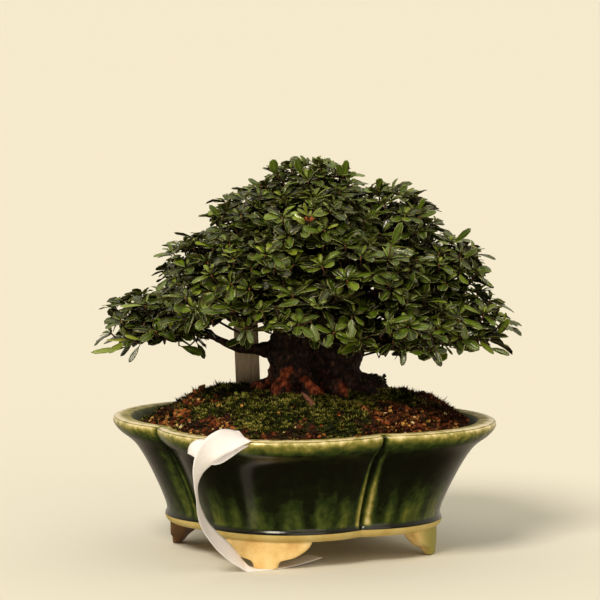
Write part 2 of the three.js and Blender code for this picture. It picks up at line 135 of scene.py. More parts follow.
CHOSEN_LEAVES = [  # base and tip as seen from the front, half width, tone and youth
    ((-130, 156), (-157, 150), 2.4, 0.5, 0.8), ((-121, 158), (-128, 145), 2.2, 0.25, 0),
    ((-120, 163), (-132, 165), 1.9, 0.6, 0.9), ((-96, 166), (-98, 181), 2.2, 0.7, 1.0),
    ((-89, 168), (-84, 189), 2.8, 0.5, 0.1), ((-91, 157), (-74, 151), 3.5, 0.4, 0.1),
    ((-79, 158), (-72, 147), 2.5, 0.2, 0), ((-51, 189), (-75, 188), 3.3, 0.5, 0),
    ((-19, 195), (-2, 199), 3.4, 0.5, 0), ((-43, 163), (-57, 155), 3.4, 0.4, 0),
    ((-41, 166), (-41, 153), 2.7, 0.2, 0), ((-34, 164), (-32, 152), 2.6, 0.4, 0),
    ((-43, 176), (-51, 179), 2.6, 0.4, 0), ((-42, 177), (-48, 184), 2.5, 0.5, 0.1),
    ((-41, 177), (-38, 185), 2.5, 0.45, 0.1), ((-41, 175), (-37, 167), 2.6, 0.5, 0),
    ((-42, 174), (-44, 165), 2.3, 0.3, 0), ((-42, 176), (-44, 181), 1.5, 0.6, 0.9),
    ((-30, 178), (-18, 175), 2.6, 0.7, 0.2), ((-40, 176), (-37, 164), 2.5, 0.6, 0),
    ((-43, 176), (-47, 166), 2.1, 0.4, 0), ((-33, 181), (-30, 172), 2.4, 0.5, 0),
    ((-44, 173), (-44, 162), 2.2, 0.5, 0), ((-46, 181), (-54, 178), 2.4, 0.4, 0),
    ((64, 235), (74, 252), 3.7, 0.5, 0), ((64, 233), (81, 229), 3.3, 0.4, 0),
    ((84, 222), (98, 223), 3.3, 0.4, 0), ((35, 186), (35, 171), 3.9, 0.5, 0.1),
    ((6, 184), (9, 170), 3.5, 0.5, 0.1), ((115, 178), (120, 164), 3.8, 0.4, 0.1),
    ((143, 164), (154, 178), 3.5, 0.5, 0.1), ((112, 233), (125, 244), 3.0, 0.4, 0),
    ((118, 222), (130, 230), 2.9, 0.4, 0), ((109, 158), (130, 155), 2.7, 0.3, 0.1),
    ((138, 156), (153, 150), 2.7, 0.4, 0.1), ((63, 173), (60, 185), 3.0, 0.5, 0),
    ((61, 209), (50, 215), 3.2, 0.5, 0), ((74, 201), (82, 217), 3.2, 0.4, 0),
    ((32, 201), (39, 211), 3.1, 0.5, 0), ((56, 171), (58, 158), 2.6, 0.3, 0),
    ((74, 164), (71, 151), 2.6, 0.3, 0), ((96, 161), (99, 151), 2.4, 0.2, 0),
    ((-60, 252), (-70, 262), 3.2, 0.5, 0), ((-20, 283), (-24, 295), 3.8, 0.6, 0),
    ((-1, 285), (-5, 297), 4.1, 0.5, 0), ((-32, 276), (-41, 280), 3.3, 0.5, 0),
    ((31, 282), (33, 295), 3.2, 0.6, 0), ((30, 282), (25, 292), 2.6, 0.5, 0),
    ((32, 281), (40, 285), 2.8, 0.5, 0), ((55, 273), (59, 281), 3.5, 0.5, 0),
    ((71, 270), (78, 275), 3.1, 0.5, 0), ((85, 257), (91, 267), 3.1, 0.6, 0),
    ((86, 253), (99, 257), 2.8, 0.5, 0), ((4, 257), (-5, 262), 1.7, 0.4, 0.7),
    ((6, 257), (14, 263), 1.8, 0.3, 0.6), ((3, 258), (0, 267), 1.6, 0.5, 0.7),
    ((-46, 165), (-51, 172), 1.6, 0.6, 0.8), ((-45, 165), (-40, 172), 1.6, 0.5, 0.7),
    ((-46, 166), (-46, 174), 1.5, 0.7, 0.9),
]
# Where the background shows through or above the crown, as seen from the front: middle and half sizes.
LOOK_THROUGH = [
    ((-56.6, 164.6), (8, 4.2)), ((-27.5, 159.5), (7.5, 5.2)), ((-37, 169.5), (2, 1.4)),
    ((-79, 172), (1.6, 1.3)), ((-59, 172), (1.4, 1.3)), ((55, 173.7), (2.3, 1.8)), ((59, 158.6), (5, 2)),
    ((52, 195.5), (1.6, 2.6)), ((47.6, 139), (6, 9)), ((-61, 139), (12, 10.5)), ((4, 307), (26, 10)),
]
WEEDS = [(46, 6, 11), (50, 10, 9), (53, 8, 13), (57, 6, 12), (43, 12, 7), (60, 9, 9)]  # place and height
LEAF = 15.5  # length of a middling leaf
LEAF_HALF_WIDTH = 3.3
LEAF_START = 1.26  # how far from its shoot's axis a leaf begins
LEAF_SCALE = {"apex": 0.94, "crown": 0.94, "shoulder": 1.08, "skirt": 1.16}
SHOOT_PLACES = 13
SHOOT_HEIGHTS = (0.97, -0.42)  # of the highest and the lowest shoot on a cloud's solid, in radii
GOLDEN_TURN = math.pi * (3 - math.sqrt(5))
# Points across a leaf, then places along it: shares of its length and of its half width.
BLADE = (5, [(0.1, 0.22), (0.33, 0.74), (0.63, 1.0), (0.89, 0.68)])
PLAIN_BLADE = (3, [(0.2, 0.5), (0.58, 1.0), (0.88, 0.68)])
STEM_SIDES = 4

# The name stake and the paper strip.
STAKE = {"width": 18.4, "thickness": 1.8, "foot": 98, "top": 172, "x": -40.6, "y": 19, "lean": -2.2}
TUCKED_END = [  # the strip's end, folded back under itself on the rim and out on the left
    ((-41.4, -133.2, 101.6), (0.34, -0.82, -0.46)),
    ((-45.5, -135.4, 100.6), (0.38, -0.7, -0.62)),
    ((-51.5, -138.4, 98.2), (0.46, -0.54, -0.7)),
    ((-58, -141.5, 94.6), (0.5, -0.42, -0.76)),
    ((-64, -143.5, 91.8), (0.42, -0.4, -0.8)),
    ((-70, -143.2, 93.4), (0.28, -0.68, -0.68)),
    ((-74.8, -141.4, 94.6), (0.24, -0.8, -0.54)),
    ((-78.2, -140.4, 93.2), (0.2, -0.87, -0.44)),
    ((-79.6, -140.6, 89.8), (0.18, -0.9, -0.38)),
]
STRIP_LINE = [  # points of its middle line, each with the direction across
    ((-42, -134, 102.2), (0.34, -0.88, -0.28)),
    ((-49, -139, 102.2), (0.53, -0.6, -0.58)),
    ((-56.5, -145, 100.7), (0.68, -0.05, -0.73)),
    ((-64, -150, 97), (0.7, 0.15, -0.7)),
    ((-69.5, -153, 91.5), (0.62, 0.48, -0.62)),
    ((-73, -153, 84), (0.46, 0.77, -0.44)),
    ((-75, -150, 74.5), (0.2, 0.95, -0.2)),
    ((-76, -145, 64), (0.02, 0.99, -0.12)),
    ((-75.2, -138, 51), (0.1, 0.98, -0.06)),
    ((-71.5, -130, 38), (0.22, 0.97, 0.02)),
    ((-63.2, -120.5, 25), (0.28, 0.95, 0.12)),
    ((-53.8, -109.5, 15), (0.26, 0.94, 0.2)),
    ((-46.8, -103, 8), (0.18, 0.97, 0.12)),
    ((-41.8, -99.5, 2.8), (0.06, 0.99, 0.05)),
    ((-37.5, -97, 0.35), (-0.05, 1, 0.02)),
    ((-26.5, -91.5, 0.35), (-0.3, 0.95, 0)),
    ((-14, -83.5, 0.9), (-0.5, 0.87, 0)),
    ((2, -71, 3.4), (-0.65, 0.76, 0)),
    ((9, -66, 5), (-0.65, 0.76, 0)),
]


# Small helpers.
def place(points):
    """Points in millimetres about the pot's axis, as metres in the part's frame."""
    return (np.asarray(points, float) + AXIS) * MM


def paint(value):
    """An sRGB hex colour as linear light."""
    shares = [int(value[i : i + 2], 16) / 255 for i in (1, 3, 5)]
    return (*(s / 12.92 if s <= 0.04045 else ((s + 0.055) / 1.055) ** 2.4 for s in shares), 1.0)


def unit(vectors):
    return vectors / np.linalg.norm(vectors, axis=-1, keepdims=True)


def smoothstep(start, end, value):
    share = np.clip((value - start) / (end - start), 0, 1)
    return share * share * (3 - 2 * share)


def bell(value, middle, half):
    """A smooth bump, 1 at its middle and about a third at this half width."""
    return np.exp(-(((value - middle) / half) ** 2))


def gone(line):
    """How far along a line of points each of them lies."""
    return np.concatenate([[0], np.cumsum(np.linalg.norm(np.diff(line, axis=0), axis=1))])


def hills(x, y, size, seed):
    """Smooth random heights from -1 to 1, with hills about this many millimetres across."""
    cells = 64
    heights = np.random.default_rng(seed).uniform(-1, 1, (cells, cells))
    u, v = np.asarray(x) / size, np.asarray(y) / size
    i, j = np.floor(u).astype(int), np.floor(v).astype(int)
    f, g = smoothstep(0, 1, u - i), smoothstep(0, 1, v - j)
    corner = lambda a, b: heights[(i + a) % cells, (j + b) % cells]
    near = corner(0, 0) * (1 - f) + corner(1, 0) * f
    far = corner(0, 1) * (1 - f) + corner(1, 1) * f
    return near * (1 - g) + far * g


def grid(rows, columns):
    """Four-sided faces between rows of points, each row closed into a ring."""
    i, j = np.meshgrid(np.arange(rows - 1), np.arange(columns), indexing="ij")
    a = i * columns + j
    b = i * columns + (j + 1) % columns
    return np.stack([a, b, b + columns, a + columns], axis=-1).reshape(-1, 4)


def fan(centre, row, upward=True):
    """Three-sided faces from a row of points, closed into a ring, to one point."""
    after = np.roll(row, -1)
    middle = np.full(len(row), centre)
    return np.stack([row, after, middle] if upward else [after, row, middle], axis=-1)


def closed(rows, columns):
    """Faces of a body made of rings, closed at its ends by the two points that follow them."""
    count = rows * columns
    first, last = np.arange(columns), np.arange(count - columns, count)
    return [grid(rows, columns), fan(count, first, upward=False), fan(count + 1, last)]


def repeated(parts, size, count):
    """The faces of one small body, repeated for so many bodies that have this many points each."""
    starts = size * np.arange(count)[:, None, None]
    return [(part[None] + starts).reshape(-1, part.shape[1]) for part in parts]


def build(name, points, faces, materials, pick=None, uv=None, marks=None, smooth=True):
    """A mesh object from points in millimetres and lists of three- or four-sided faces.

    pick holds each face's place in the list of materials, and marks hold a number for each point.
    """
    mesh = bpy.data.meshes.new(name)
    mesh.vertices.add(len(points))
    mesh.vertices.foreach_set("co", place(points).ravel())
    corners = np.concatenate([np.asarray(f).ravel() for f in faces])
    sides = np.concatenate([np.full(len(f), np.asarray(f).shape[1]) for f in faces])
    mesh.loops.add(len(corners))
    mesh.loops.foreach_set("vertex_index", corners)
    mesh.polygons.add(len(sides))
    mesh.polygons.foreach_set("loop_start", np.cumsum(sides) - sides)
    for made in materials:
        mesh.materials.append(made)
    if pick is not None:
        mesh.polygons.foreach_set("material_index", pick)
    mesh.polygons.foreach_set("use_smooth", np.full(len(sides), smooth))
    if uv is not None:
        layer = mesh.uv_layers.new(name="UVMap")
        layer.data.foreach_set("uv", np.asarray(uv, float)[corners].ravel())
    for mark_name, values in (marks or {}).items():
        mesh.attributes.new(mark_name, "FLOAT", "POINT").data.foreach_set("value", np.asarray(values, float))
    mesh.update(calc_edges=True)
    mesh.validate()
    piece = bpy.data.objects.new(name, mesh)
    bpy.context.scene.collection.objects.link(piece)
    return piece


def keep(piece, slot, *nodes):
    """Ties a finished piece to the part."""
    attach(piece, "root")
    if nodes:
        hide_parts(*nodes)


def settle(piece):
    """Applies the piece's modifiers to its mesh."""
    graph = bpy.context.evaluated_depsgraph_get()
    made = bpy.data.meshes.new_from_object(piece.evaluated_get(graph))
    piece.modifiers.clear()
    piece.data = made


# Materials.
def material(name):
    made = bpy.data.materials.new(name)
    made.use_nodes = True
    made.node_tree.nodes.clear()
    return made, made.node_tree


def add(tree, kind, settings=None, **inputs):
    """Adds one node with its settings, and sets or links its inputs by name or by position."""
    node = tree.nodes.new(kind)
    for name, value in (settings or {}).items():
        setattr(node, name, value)
    for name, value in inputs.items():
        socket = node.inputs[int(name[1:])] if name[0] == "_" else node.inputs[name.replace("_", " ")]
        if isinstance(value, bpy.types.NodeSocket):
            tree.links.new(value, socket)
        else:
            socket.default_value = value
    return node


def ramp(tree, value, stops):
    """Colours along a value: each stop is a place from 0 to 1 and a hex colour."""
    node = add(tree, "ShaderNodeValToRGB", Fac=value)
    steps = node.color_ramp.elements
    while len(steps) < len(stops):
        steps.new(0.5)
    for step, (where, colour) in zip(steps, stops):
        step.position = where
        step.color = paint(colour)
    return node.outputs["Color"]


def blend(tree, share, first, second):
    mix = add(tree, "ShaderNodeMix", {"data_type": "RGBA"}, _0=share, _6=first, _7=second)
    return mix.outputs[2]


def grain(tree, where, size, detail=3.0, stretch=(1, 1, 1)):
    """Noise with features about this many millimetres across, longer where stretch is above 1."""
    spread = tuple(1 / (size * MM * s) for s in stretch)
    scaled = add(tree, "ShaderNodeMapping", Vector=where, Scale=spread).outputs[0]
    noise = add(tree, "ShaderNodeTexNoise", Vector=scaled, Scale=1.0, Detail=detail, Roughness=0.6)
    return noise.outputs["Fac"]


def ranged(tree, value, start, end, low=0.0, high=1.0):
    node = add(tree, "ShaderNodeMapRange", {"clamp": True}, Value=value)
    for name, number in zip(("From Min", "From Max", "To Min", "To Max"), (start, end, low, high)):
        node.inputs[name].default_value = number
    return node.outputs["Result"]


def finish_with(made, colour, roughness, height=None, relief=0.0, **settings):
    """Ends a material with its colour, its roughness and a bump, and with what is the same all over."""
    tree = made.node_tree
    surface = add(tree, "ShaderNodeBsdfPrincipled", Base_Color=colour, Roughness=roughness, **settings)
    if height is not None:
        bump = add(tree, "ShaderNodeBump", Strength=1.0, Distance=relief * MM, Height=height)
        tree.links.new(bump.outputs["Normal"], surface.inputs["Normal"])
    output = add(tree, "ShaderNodeOutputMaterial")
    tree.links.new(surface.outputs["BSDF"], output.inputs["Surface"])
    return made


def mark(tree, name):
    return add(tree, "ShaderNodeAttribute", {"attribute_name": name}).outputs["Fac"]


def calculate(tree, operation, first, second=0.0):
    return add(tree, "ShaderNodeMath", {"operation": operation}, _0=first, _1=second).outputs[0]


def spot(tree):
    return add(tree, "ShaderNodeTexCoord").outputs["Object"]


def laid_out(tree):
    """Where a place lies on the piece's surface laid flat."""
    return add(tree, "ShaderNodeUVMap", {"uv_map": "UVMap"}).outputs[0]


def on_leaf(tree):
    """How far a place lies off the leaf's rib, from 0 to 0.5, and how far along it, from 0 to 1."""
    place_on_leaf = add(tree, "ShaderNodeSeparateXYZ", Vector=laid_out(tree)).outputs
    off_rib = calculate(tree, "ABSOLUTE", calculate(tree, "SUBTRACT", place_on_leaf["X"], 0.5))
    return off_rib, place_on_leaf["Y"]


def copper_glaze():
    """Copper-green ash glaze, dipped and fired: near black where it lies thick, olive where it ran thin.

    It is glassy, and dulled by dust and hard water inside the rim.
    """
    made, tree = material("copper_green_glaze")
    where = laid_out(tree)
    thin = mark(tree, "thin")
    runs = grain(tree, where, 10, 1, (1, 6, 1))
    broad = grain(tree, where, 17, 0, (1, 9, 1))
    drips = grain(tree, where, 5.5, 3, (1, 1.5, 1))
    cloudy = grain(tree, where, 7, 4, (1, 1.2, 1))
    narrow_runs, broad_runs = ranged(tree, runs, 0.36, 0.7, 0, 0.5), ranged(tree, broad, 0.38, 0.6, 0, 0.5)
    streaks = calculate(tree, "ADD", narrow_runs, broad_runs)
    low_wall = calculate(tree, "MULTIPLY", streaks, mark(tree, "run_zone"))
    broken = calculate(tree, "MULTIPLY", thin, ranged(tree, drips, 0.32, 0.68, 0.74, 1.14))
    thinness = calculate(tree, "ADD", broken, low_wall)
    mottled = calculate(tree, "ADD", thinness, ranged(tree, cloudy, 0.3, 0.7, -0.1, 0.1))
    colour = ramp(
        tree, mottled,
        [(0.0, "#13140a"), (0.14, "#191d0c"), (0.3, "#2b3816"), (0.46, "#4c5623"), (0.64, "#7c7834"),
         (0.82, "#b9ad66"), (1.0, "#efe0b4")],
    )
    waves = grain(tree, where, 7, 1, (1, 2, 1))
    dull = ranged(tree, mark(tree, "dusty"), 0, 1, 0.19, 0.62)
    return finish_with(made, colour, dull, waves, 0.1, IOR=1.5, Specular_IOR_Level=0.4)


def buff_stoneware():
    """Bare fired stoneware clay, wiped clean of glaze: dry and cream to peach, with a fine sandy tooth."""
    made, tree = material("buff_stoneware")
    where = spot(tree)
    toast = grain(tree, where, 14, 3)
    sand = grain(tree, where, 0.9, 2)
    body = ramp(tree, toast, [(0.25, "#cfa45f"), (0.5, "#e6c47f"), (0.75, "#f0d698")])
    speck = ranged(tree, sand, 0.68, 0.8)
    stained = blend(tree, speck, body, paint("#9c6a3c"))
    # painted shade, with some smoke stain: the left foot, which stands in shadow, is darkened to a dull brown
    smoke_and_shade = blend(tree, mark(tree, "smoke_and_shade"), stained, paint("#6d4a2c"))
    washed = blend(tree, mark(tree, "glazed"), smoke_and_shade, paint("#8f8c35"))
    return finish_with(made, washed, ranged(tree, sand, 0.3, 0.7, 0.55, 0.8), sand, 0.12, IOR=1.45)


def moist_soil():
    """Potting mix of fine humus and crumbled clay, damp: dark brown with moss dust over it."""
    made, tree = material("damp_soil")
    where = spot(tree)
    crumbs = grain(tree, where, 1.6, 4)
    dust = grain(tree, where, 9, 3)
    earth = ramp(tree, crumbs, [(0.3, "#120b06"), (0.5, "#2a1a0e"), (0.68, "#4c3019"), (0.8, "#6e4826")])
    green = ramp(tree, crumbs, [(0.3, "#0c1004"), (0.55, "#222c0b"), (0.8, "#46551a")])
    mossy = calculate(tree, "MULTIPLY", mark(tree, "moss"), ranged(tree, dust, 0.3, 0.55))
    colour = blend(tree, mossy, earth, green)
    return finish_with(made, colour, 0.9, crumbs, 0.7, IOR=1.4, Specular_IOR_Level=0.2)


def clay_grain():
    """Baked akadama and kanuma grains, sieved: matte lumps from dark rust through tan to pale yellow."""
    made, tree = material("baked_clay_grains")
    dusty = grain(tree, spot(tree), 0.8, 3)
    body = ramp(
        tree, mark(tree, "tone"),
        [(0.0, "#1c0d06"), (0.25, "#4a200e"), (0.48, "#7c3e1e"), (0.66, "#ae6838"), (0.82, "#dca650"),
         (1.0, "#f2dca0")],
    )
    colour = blend(tree, ranged(tree, dusty, 0.35, 0.75, 0, 0.35), body, paint("#2a1a10"))
    return finish_with(made, colour, 0.85, dusty, 0.15, IOR=1.4, Specular_IOR_Level=0.25)


def living_moss():
    """Cushion moss, growing: soft matte tufts, deep green with yellow-green tips."""
    made, tree = material("cushion_moss")
    # the tone holds painted shade in the hollows between cushions as well as the moss's own colour
    tone = mark(tree, "tone")
    living = ramp(tree, tone, [(0.0, "#130d03"), (0.3, "#27290a"), (0.62, "#5c681a"), (1.0, "#dacd6a")])
    withered = ramp(tree, tone, [(0.0, "#1a0e07"), (0.4, "#432312"), (0.75, "#7a4420"), (1.0, "#a8713a")])
    colour = blend(tree, mark(tree, "dry"), living, withered)
    return finish_with(made, colour, 0.75, IOR=1.4, Specular_IOR_Level=0.2)


def azalea_bark():
    """Old azalea bark, grown: dull umber that flakes off the roots and shows orange-red wood beneath."""
    made, tree = material("azalea_bark")
    where = spot(tree)
    fibres = grain(tree, where, 2.4, 4, (1, 1, 1.7))
    plates = grain(tree, where, 10, 3, (1, 1, 1.3))
    patches = grain(tree, where, 11, 3, (1, 1, 1.4))
    colour = ramp(tree, fibres, [(0.3, "#0a0503"), (0.48, "#24120c"), (0.6, "#45291e"), (0.74, "#7d5646")])
    aged = blend(tree, ranged(tree, plates, 0.42, 0.62, 0, 0.5), colour, paint("#120806"))
    peeling = calculate(tree, "MULTIPLY", mark(tree, "rooty"), 0.7)
    flayed = calculate(tree, "MULTIPLY", ranged(tree, patches, 0.54, 0.62), peeling)
    peeled = calculate(tree, "ADD", mark(tree, "bare"), ranged(tree, patches, 0.35, 0.65, -0.35, 0.1))
    flayed = calculate(tree, "MAXIMUM", flayed, ranged(tree, peeled, 0.4, 0.7))
    red = ramp(tree, fibres, [(0.34, "#321009"), (0.48, "#84351a"), (0.6, "#bb6032"), (0.74, "#dc9a68")])
    return finish_with(made, blend(tree, flayed, aged, red), 0.8, fibres, 0.5, IOR=1.45)


def young_twig():
    """Two-year azalea wood, grown: thin, warm brown, paler and redder towards each shoot."""
    made, tree = material("azalea_twig")
    rough = grain(tree, spot(tree), 1.2, 2)
    youth = mark(tree, "youth")
    colour = ramp(tree, youth, [(0.0, "#150d08"), (0.6, "#2a1b10"), (0.88, "#4a331a"), (1.0, "#7c5028")])
    return finish_with(made, colour, 0.7, rough, 0.1, IOR=1.45)


def leaf_face():
    """The upper face of an evergreen azalea leaf: waxy dark green, with a pale midrib, and a thin pale margin
    that is partly fine edge hairs and partly painted highlight.
    """
    made, tree = material("azalea_leaf_face")
    off_rib, along = on_leaf(tree)
    slant = calculate(tree, "SUBTRACT", along, calculate(tree, "MULTIPLY", off_rib, 0.55))
    veins = calculate(tree, "SINE", calculate(tree, "MULTIPLY", slant, 44.0))
    mottle = grain(tree, spot(tree), 3.5, 2)
    # the tone holds painted light high on each cloud and painted shade deep inside it, as well as tone that
    # differs at random
    tone = calculate(tree, "ADD", mark(tree, "tone"), ranged(tree, mottle, 0.3, 0.7, -0.07, 0.07))
    green = ramp(tree, tone, [(0.0, "#121a03"), (0.3, "#283905"), (0.65, "#4b630c"), (1.0, "#829a1e")])
    fresh = ramp(tree, tone, [(0.0, "#5c7a1c"), (0.6, "#8a9a2a"), (1.0, "#b4b038")])
    blade = blend(tree, mark(tree, "youth"), green, fresh)
    veined = blend(tree, ranged(tree, veins, 0.75, 1.0, 0, 0.22), blade, paint("#707a2c"))
    ribbed = blend(tree, ranged(tree, off_rib, 0.055, 0.02, 0, 0.55), veined, paint("#848c3a"))
    # the pale margin is partly the leaf's fine edge hairs and partly a painted highlight where the thin edge
    # catches the light
    margin_hairs_and_highlight = blend(tree, ranged(tree, off_rib, 0.39, 0.46, 0, 0.85), ribbed, paint("#c8c47a"))
    sunken_veins = calculate(tree, "MULTIPLY", veins, 0.12)
    height = calculate(tree, "ADD", ranged(tree, off_rib, 0.0, 0.08), sunken_veins)
    return finish_with(made, margin_hairs_and_highlight, 0.26, height, 0.14, IOR=1.5, Specular_IOR_Level=0.72)


def leaf_back():
    """The underside of an azalea leaf: a dull, brownish olive without the wax, with a raised rib."""
    made, tree = material("azalea_leaf_back")
    off_rib, _ = on_leaf(tree)
    green = ramp(tree, mark(tree, "tone"), [(0.0, "#221f0c"), (0.5, "#42411a"), (1.0, "#666632")])
    blade = blend(tree, mark(tree, "youth"), green, paint("#93a03c"))
    ribbed = blend(tree, ranged(tree, off_rib, 0.09, 0.03, 0, 0.6), blade, paint("#8a9050"))
    return finish_with(made, ribbed, 0.6, IOR=1.4)


def dead_leaf():
    """A fallen azalea leaf, dried on the moss: thin, dull pinkish brown, with a paler rib."""
    made, tree = material("dried_azalea_leaf")
    off_rib, _ = on_leaf(tree)
    blotch = grain(tree, spot(tree), 2.5, 3)
    brown = ramp(tree, blotch, [(0.3, "#6e3a2a"), (0.55, "#9c6450"), (0.8, "#c4967c")])
    ribbed = blend(tree, ranged(tree, off_rib, 0.08, 0.02, 0, 0.5), brown, paint("#e0bca0"))
    return finish_with(made, ribbed, 0.6, blotch, 0.1, IOR=1.4)


def bud_scale():
    """The scales of an azalea flower bud, grown: papery, rust orange with green at the foot."""
    made, tree = material("azalea_bud_scale")
    along = add(tree, "ShaderNodeSeparateXYZ", Vector=laid_out(tree)).outputs["Y"]
    colour = ramp(tree, along, [(0.0, "#5a4a1c"), (0.3, "#8a3c18"), (0.8, "#b0602c"), (1.0, "#6a3418")])
    return finish_with(made, colour, 0.55, grain(tree, spot(tree), 0.8, 2), 0.05, IOR=1.4)


def weathered_wood():
    """A planed softwood slat, weathered outdoors: silvery taupe, with grain lines that run up its length."""
    made, tree = material("weathered_pine")
    where = spot(tree)
    lines = grain(tree, where, 0.9, 4, (1, 1, 22))
    stains = grain(tree, where, 13, 3)
    colour = ramp(tree, lines, [(0.28, "#917f66"), (0.5, "#bda98c"), (0.72, "#dccab0")])
    aged = blend(tree, ranged(tree, stains, 0.4, 0.75, 0, 0.45), colour, paint("#9c8a74"))
    return finish_with(made, aged, 0.78, lines, 0.25, IOR=1.45)


def soft_paper():
    """Thick uncoated paper tape: warm white and matte, with faint fibres."""
    made, tree = material("uncoated_paper")
    fibres = grain(tree, spot(tree), 1.1, 3)
    colour = ramp(tree, fibres, [(0.3, "#f2eef0"), (0.6, "#fbf8fb")])
    return finish_with(made, colour, 0.8, fibres, 0.05, IOR=1.45)


def moulded_mesh():
    """Black polypropylene drain mesh, moulded: satin, with a soft speckle."""
    made, tree = material("polypropylene_mesh")
    speckle = grain(tree, spot(tree), 0.7, 2)
    colour = ramp(tree, speckle, [(0.3, "#101010"), (0.7, "#1e1e1d")])
    return finish_with(made, colour, 0.45, speckle, 0.05, IOR=1.49)


def cream_paper_floor():
    """Seamless cream studio paper: matte and even."""
    made, tree = material("studio_paper")
    tooth = grain(tree, spot(tree), 2.5, 2)
    colour = ramp(tree, tooth, [(0.2, "#e4e3d9"), (0.8, "#e6e5db")])
    return finish_with(made, colour, 0.9, IOR=1.4, Specular_IOR_Level=0.2)


# The pot.
def off_lobe(angle):
    """The angle from the middle of the nearest lobe."""
    return angle - QUARTER * np.round(angle / QUARTER)


def lobed(angle):
    """How far out the outline runs at this angle, as a share of the reach."""
    off = off_lobe(angle)
    return LOBE_CENTRE * np.cos(off) + np.sqrt(LOBE_ARC**2 - (LOBE_CENTRE * np.sin(off)) ** 2)


def lobe_angles():
    """Angles round the pot, close together beside the four creases."""
    share = np.arange(LOBE_STEPS) / LOBE_STEPS * 2 - 1
    one = QUARTER / 2 * np.sin(share * QUARTER)
    return np.concatenate([one + k * QUARTER for k in range(4)])


def smooth_line(points):
    """A smooth curve through a table of points."""
    p = np.asarray(points, float)
    p = np.vstack([2 * p[0] - p[1], p, 2 * p[-1] - p[-2]])
    made = []
    for a, b, c, d in zip(p, p[1:], p[2:], p[3:]):
        for t in np.arange(CURVE_STEPS) / CURVE_STEPS:
            bend = (2 * a - 5 * b + 4 * c - d) * t * t + (3 * b - a - 3 * c + d) * t**3
            made.append(0.5 * (2 * b + (c - a) * t + bend))
    return np.array([*made, p[-2]])


def turned(radius, angle):
    """X and Y at an angle of the pot."""
    return radius * np.cos(angle + POT_TURN), radius * np.sin(angle + POT_TURN)


def worn_thin(angles, reach, height, beside, outer, fade):
    """Where the glaze ran thin: along the lip, on both sides of each crease, and down the lower wall."""
    lip = np.interp(height, [80, 86, 91, 95, 97.5, 98.8, 99.8], [0, 0.12, 0.38, 0.64, 0.82, 0.98, 1.1])
    lip = lip * (reach > 120) - 0.28 * smoothstep(143.5, 139, reach) * (height > 98)
    inside_lip = np.interp(height, [60, 90, 95, 99.3], [0.24, 0.32, 0.4, 0.55]) * ~outer
    lip = np.where(outer | (height > 99.6), lip, inside_lip)
    lower = 0.17 * (1 - smoothstep(34, 64, height)) * smoothstep(28, 30.5, height) * outer
    near = bell(angles, LEFT_CREASE, 0.3)
    width = (3.4 - 1.7 * smoothstep(40, 80, height)) * (1 - 0.5 * near)
    flank = bell(beside, RIDGE["away"] - 1.5 * near, width) * fade
    flank = flank * (0.66 - 0.3 * smoothstep(50, 94, height)) * (1 - 0.12 * near)
    broad = bell(angles, LEFT_CREASE - 0.12, 0.08) * fade * (0.38 - 0.18 * smoothstep(60, 90, height))
    return np.maximum.reduce([lip, lower, flank, broad]) * (1 - 0.97 * bell(beside, 0, 1.7) * fade)


def pot_body(glaze, clay):
    """The pot's wall and floor, with creases between the lobes, a notched lip and two drain holes."""
    line = smooth_line(WALL)
    angles = lobe_angles()
    rows, columns = len(line), len(angles)
    reach = line[:, :1]
    height = np.repeat(line[:, 1:], columns, axis=1)
    radius = reach * lobed(angles)
    # distance along the wall from the nearest crease
    beside = (QUARTER / 2 - np.abs(off_lobe(angles))) * radius
    outer = (np.arange(rows) < OUTSIDE)[:, None] & (height > 26)
    fade = smoothstep(25.5, 31, height) * outer
    groove = GROOVE["depth"] * bell(beside, 0, GROOVE["half"])
    ridge = RIDGE["height"] * bell(beside, RIDGE["away"], RIDGE["half"])
    radius = radius - (groove - ridge) * fade
    height = height - 1.3 * bell(beside, 0, 2) * smoothstep(97, 100, height) * (reach > 134)
    # thrown and pressed by hand: the wall isn't quite even
    wave = 0.35 * np.sin(3 * angles + 1.0) + 0.2 * np.sin(7 * angles)
    radius = radius + wave * smoothstep(30, 90, height) * (reach > 100)
    x, y = turned(radius, angles)
    points = np.vstack([np.stack([x, y, height], axis=-1).reshape(-1, 3), [[0, 0, z] for z in FLOOR]])
    left_lobe = (angles > LEFT_CREASE - QUARTER) & (angles < LEFT_CREASE)
    low_wall = (1 - smoothstep(36, 80, height)) * smoothstep(28, 30.5, height) * outer
    marks = {
        "thin": worn_thin(angles, reach, height, beside, outer, fade),
        "run_zone": (0.38 - 0.24 * left_lobe) * low_wall,
        "dusty": 0.9 * smoothstep(142, 137, reach) * (~outer | (height > 99.5)),
    }
    marks = {name: np.append(values, [0, 0]) for name, values in marks.items()}
    marks["glazed"] = np.full(len(points), 0.45)
    around = np.tile(angles * BASE_REACH, (rows, 1))
    along = np.repeat(gone(line)[:, None], columns, axis=1)
    uv = np.vstack([np.stack([around, along], axis=-1).reshape(-1, 2) * MM, np.zeros((2, 2))])
    bare = (height[:-1].ravel() < BARE_BAND) & np.repeat(np.arange(rows - 1) < OUTSIDE, columns)
    pick = np.concatenate([bare, np.ones(columns), np.zeros(columns)]).astype(int)
    piece = build("glazed_pot", points, closed(rows, columns), [glaze, clay], pick, uv, marks)
    for x in DRAINS:
        cutter = drill(x)
        hole = piece.modifiers.new("drain", "BOOLEAN")
        hole.operation = "DIFFERENCE"
        hole.object = cutter
        settle(piece)
        bpy.data.objects.remove(cutter)
    keep(piece, "glaze", "pot")


def drill(x):
    """A round bar through the pot's floor, to cut a drain hole with."""
    sides = 32
    turn = np.arange(sides) / sides * 2 * math.pi
    rim_x, rim_y = x + DRAIN_RADIUS * np.cos(turn), DRAIN_RADIUS * np.sin(turn)
    rings = [np.stack([rim_x, rim_y, 0 * turn + z], -1) for z in DRILL]
    return build("drill", np.vstack([*rings, [[x, 0, z] for z in DRILL]]), closed(2, sides), [])


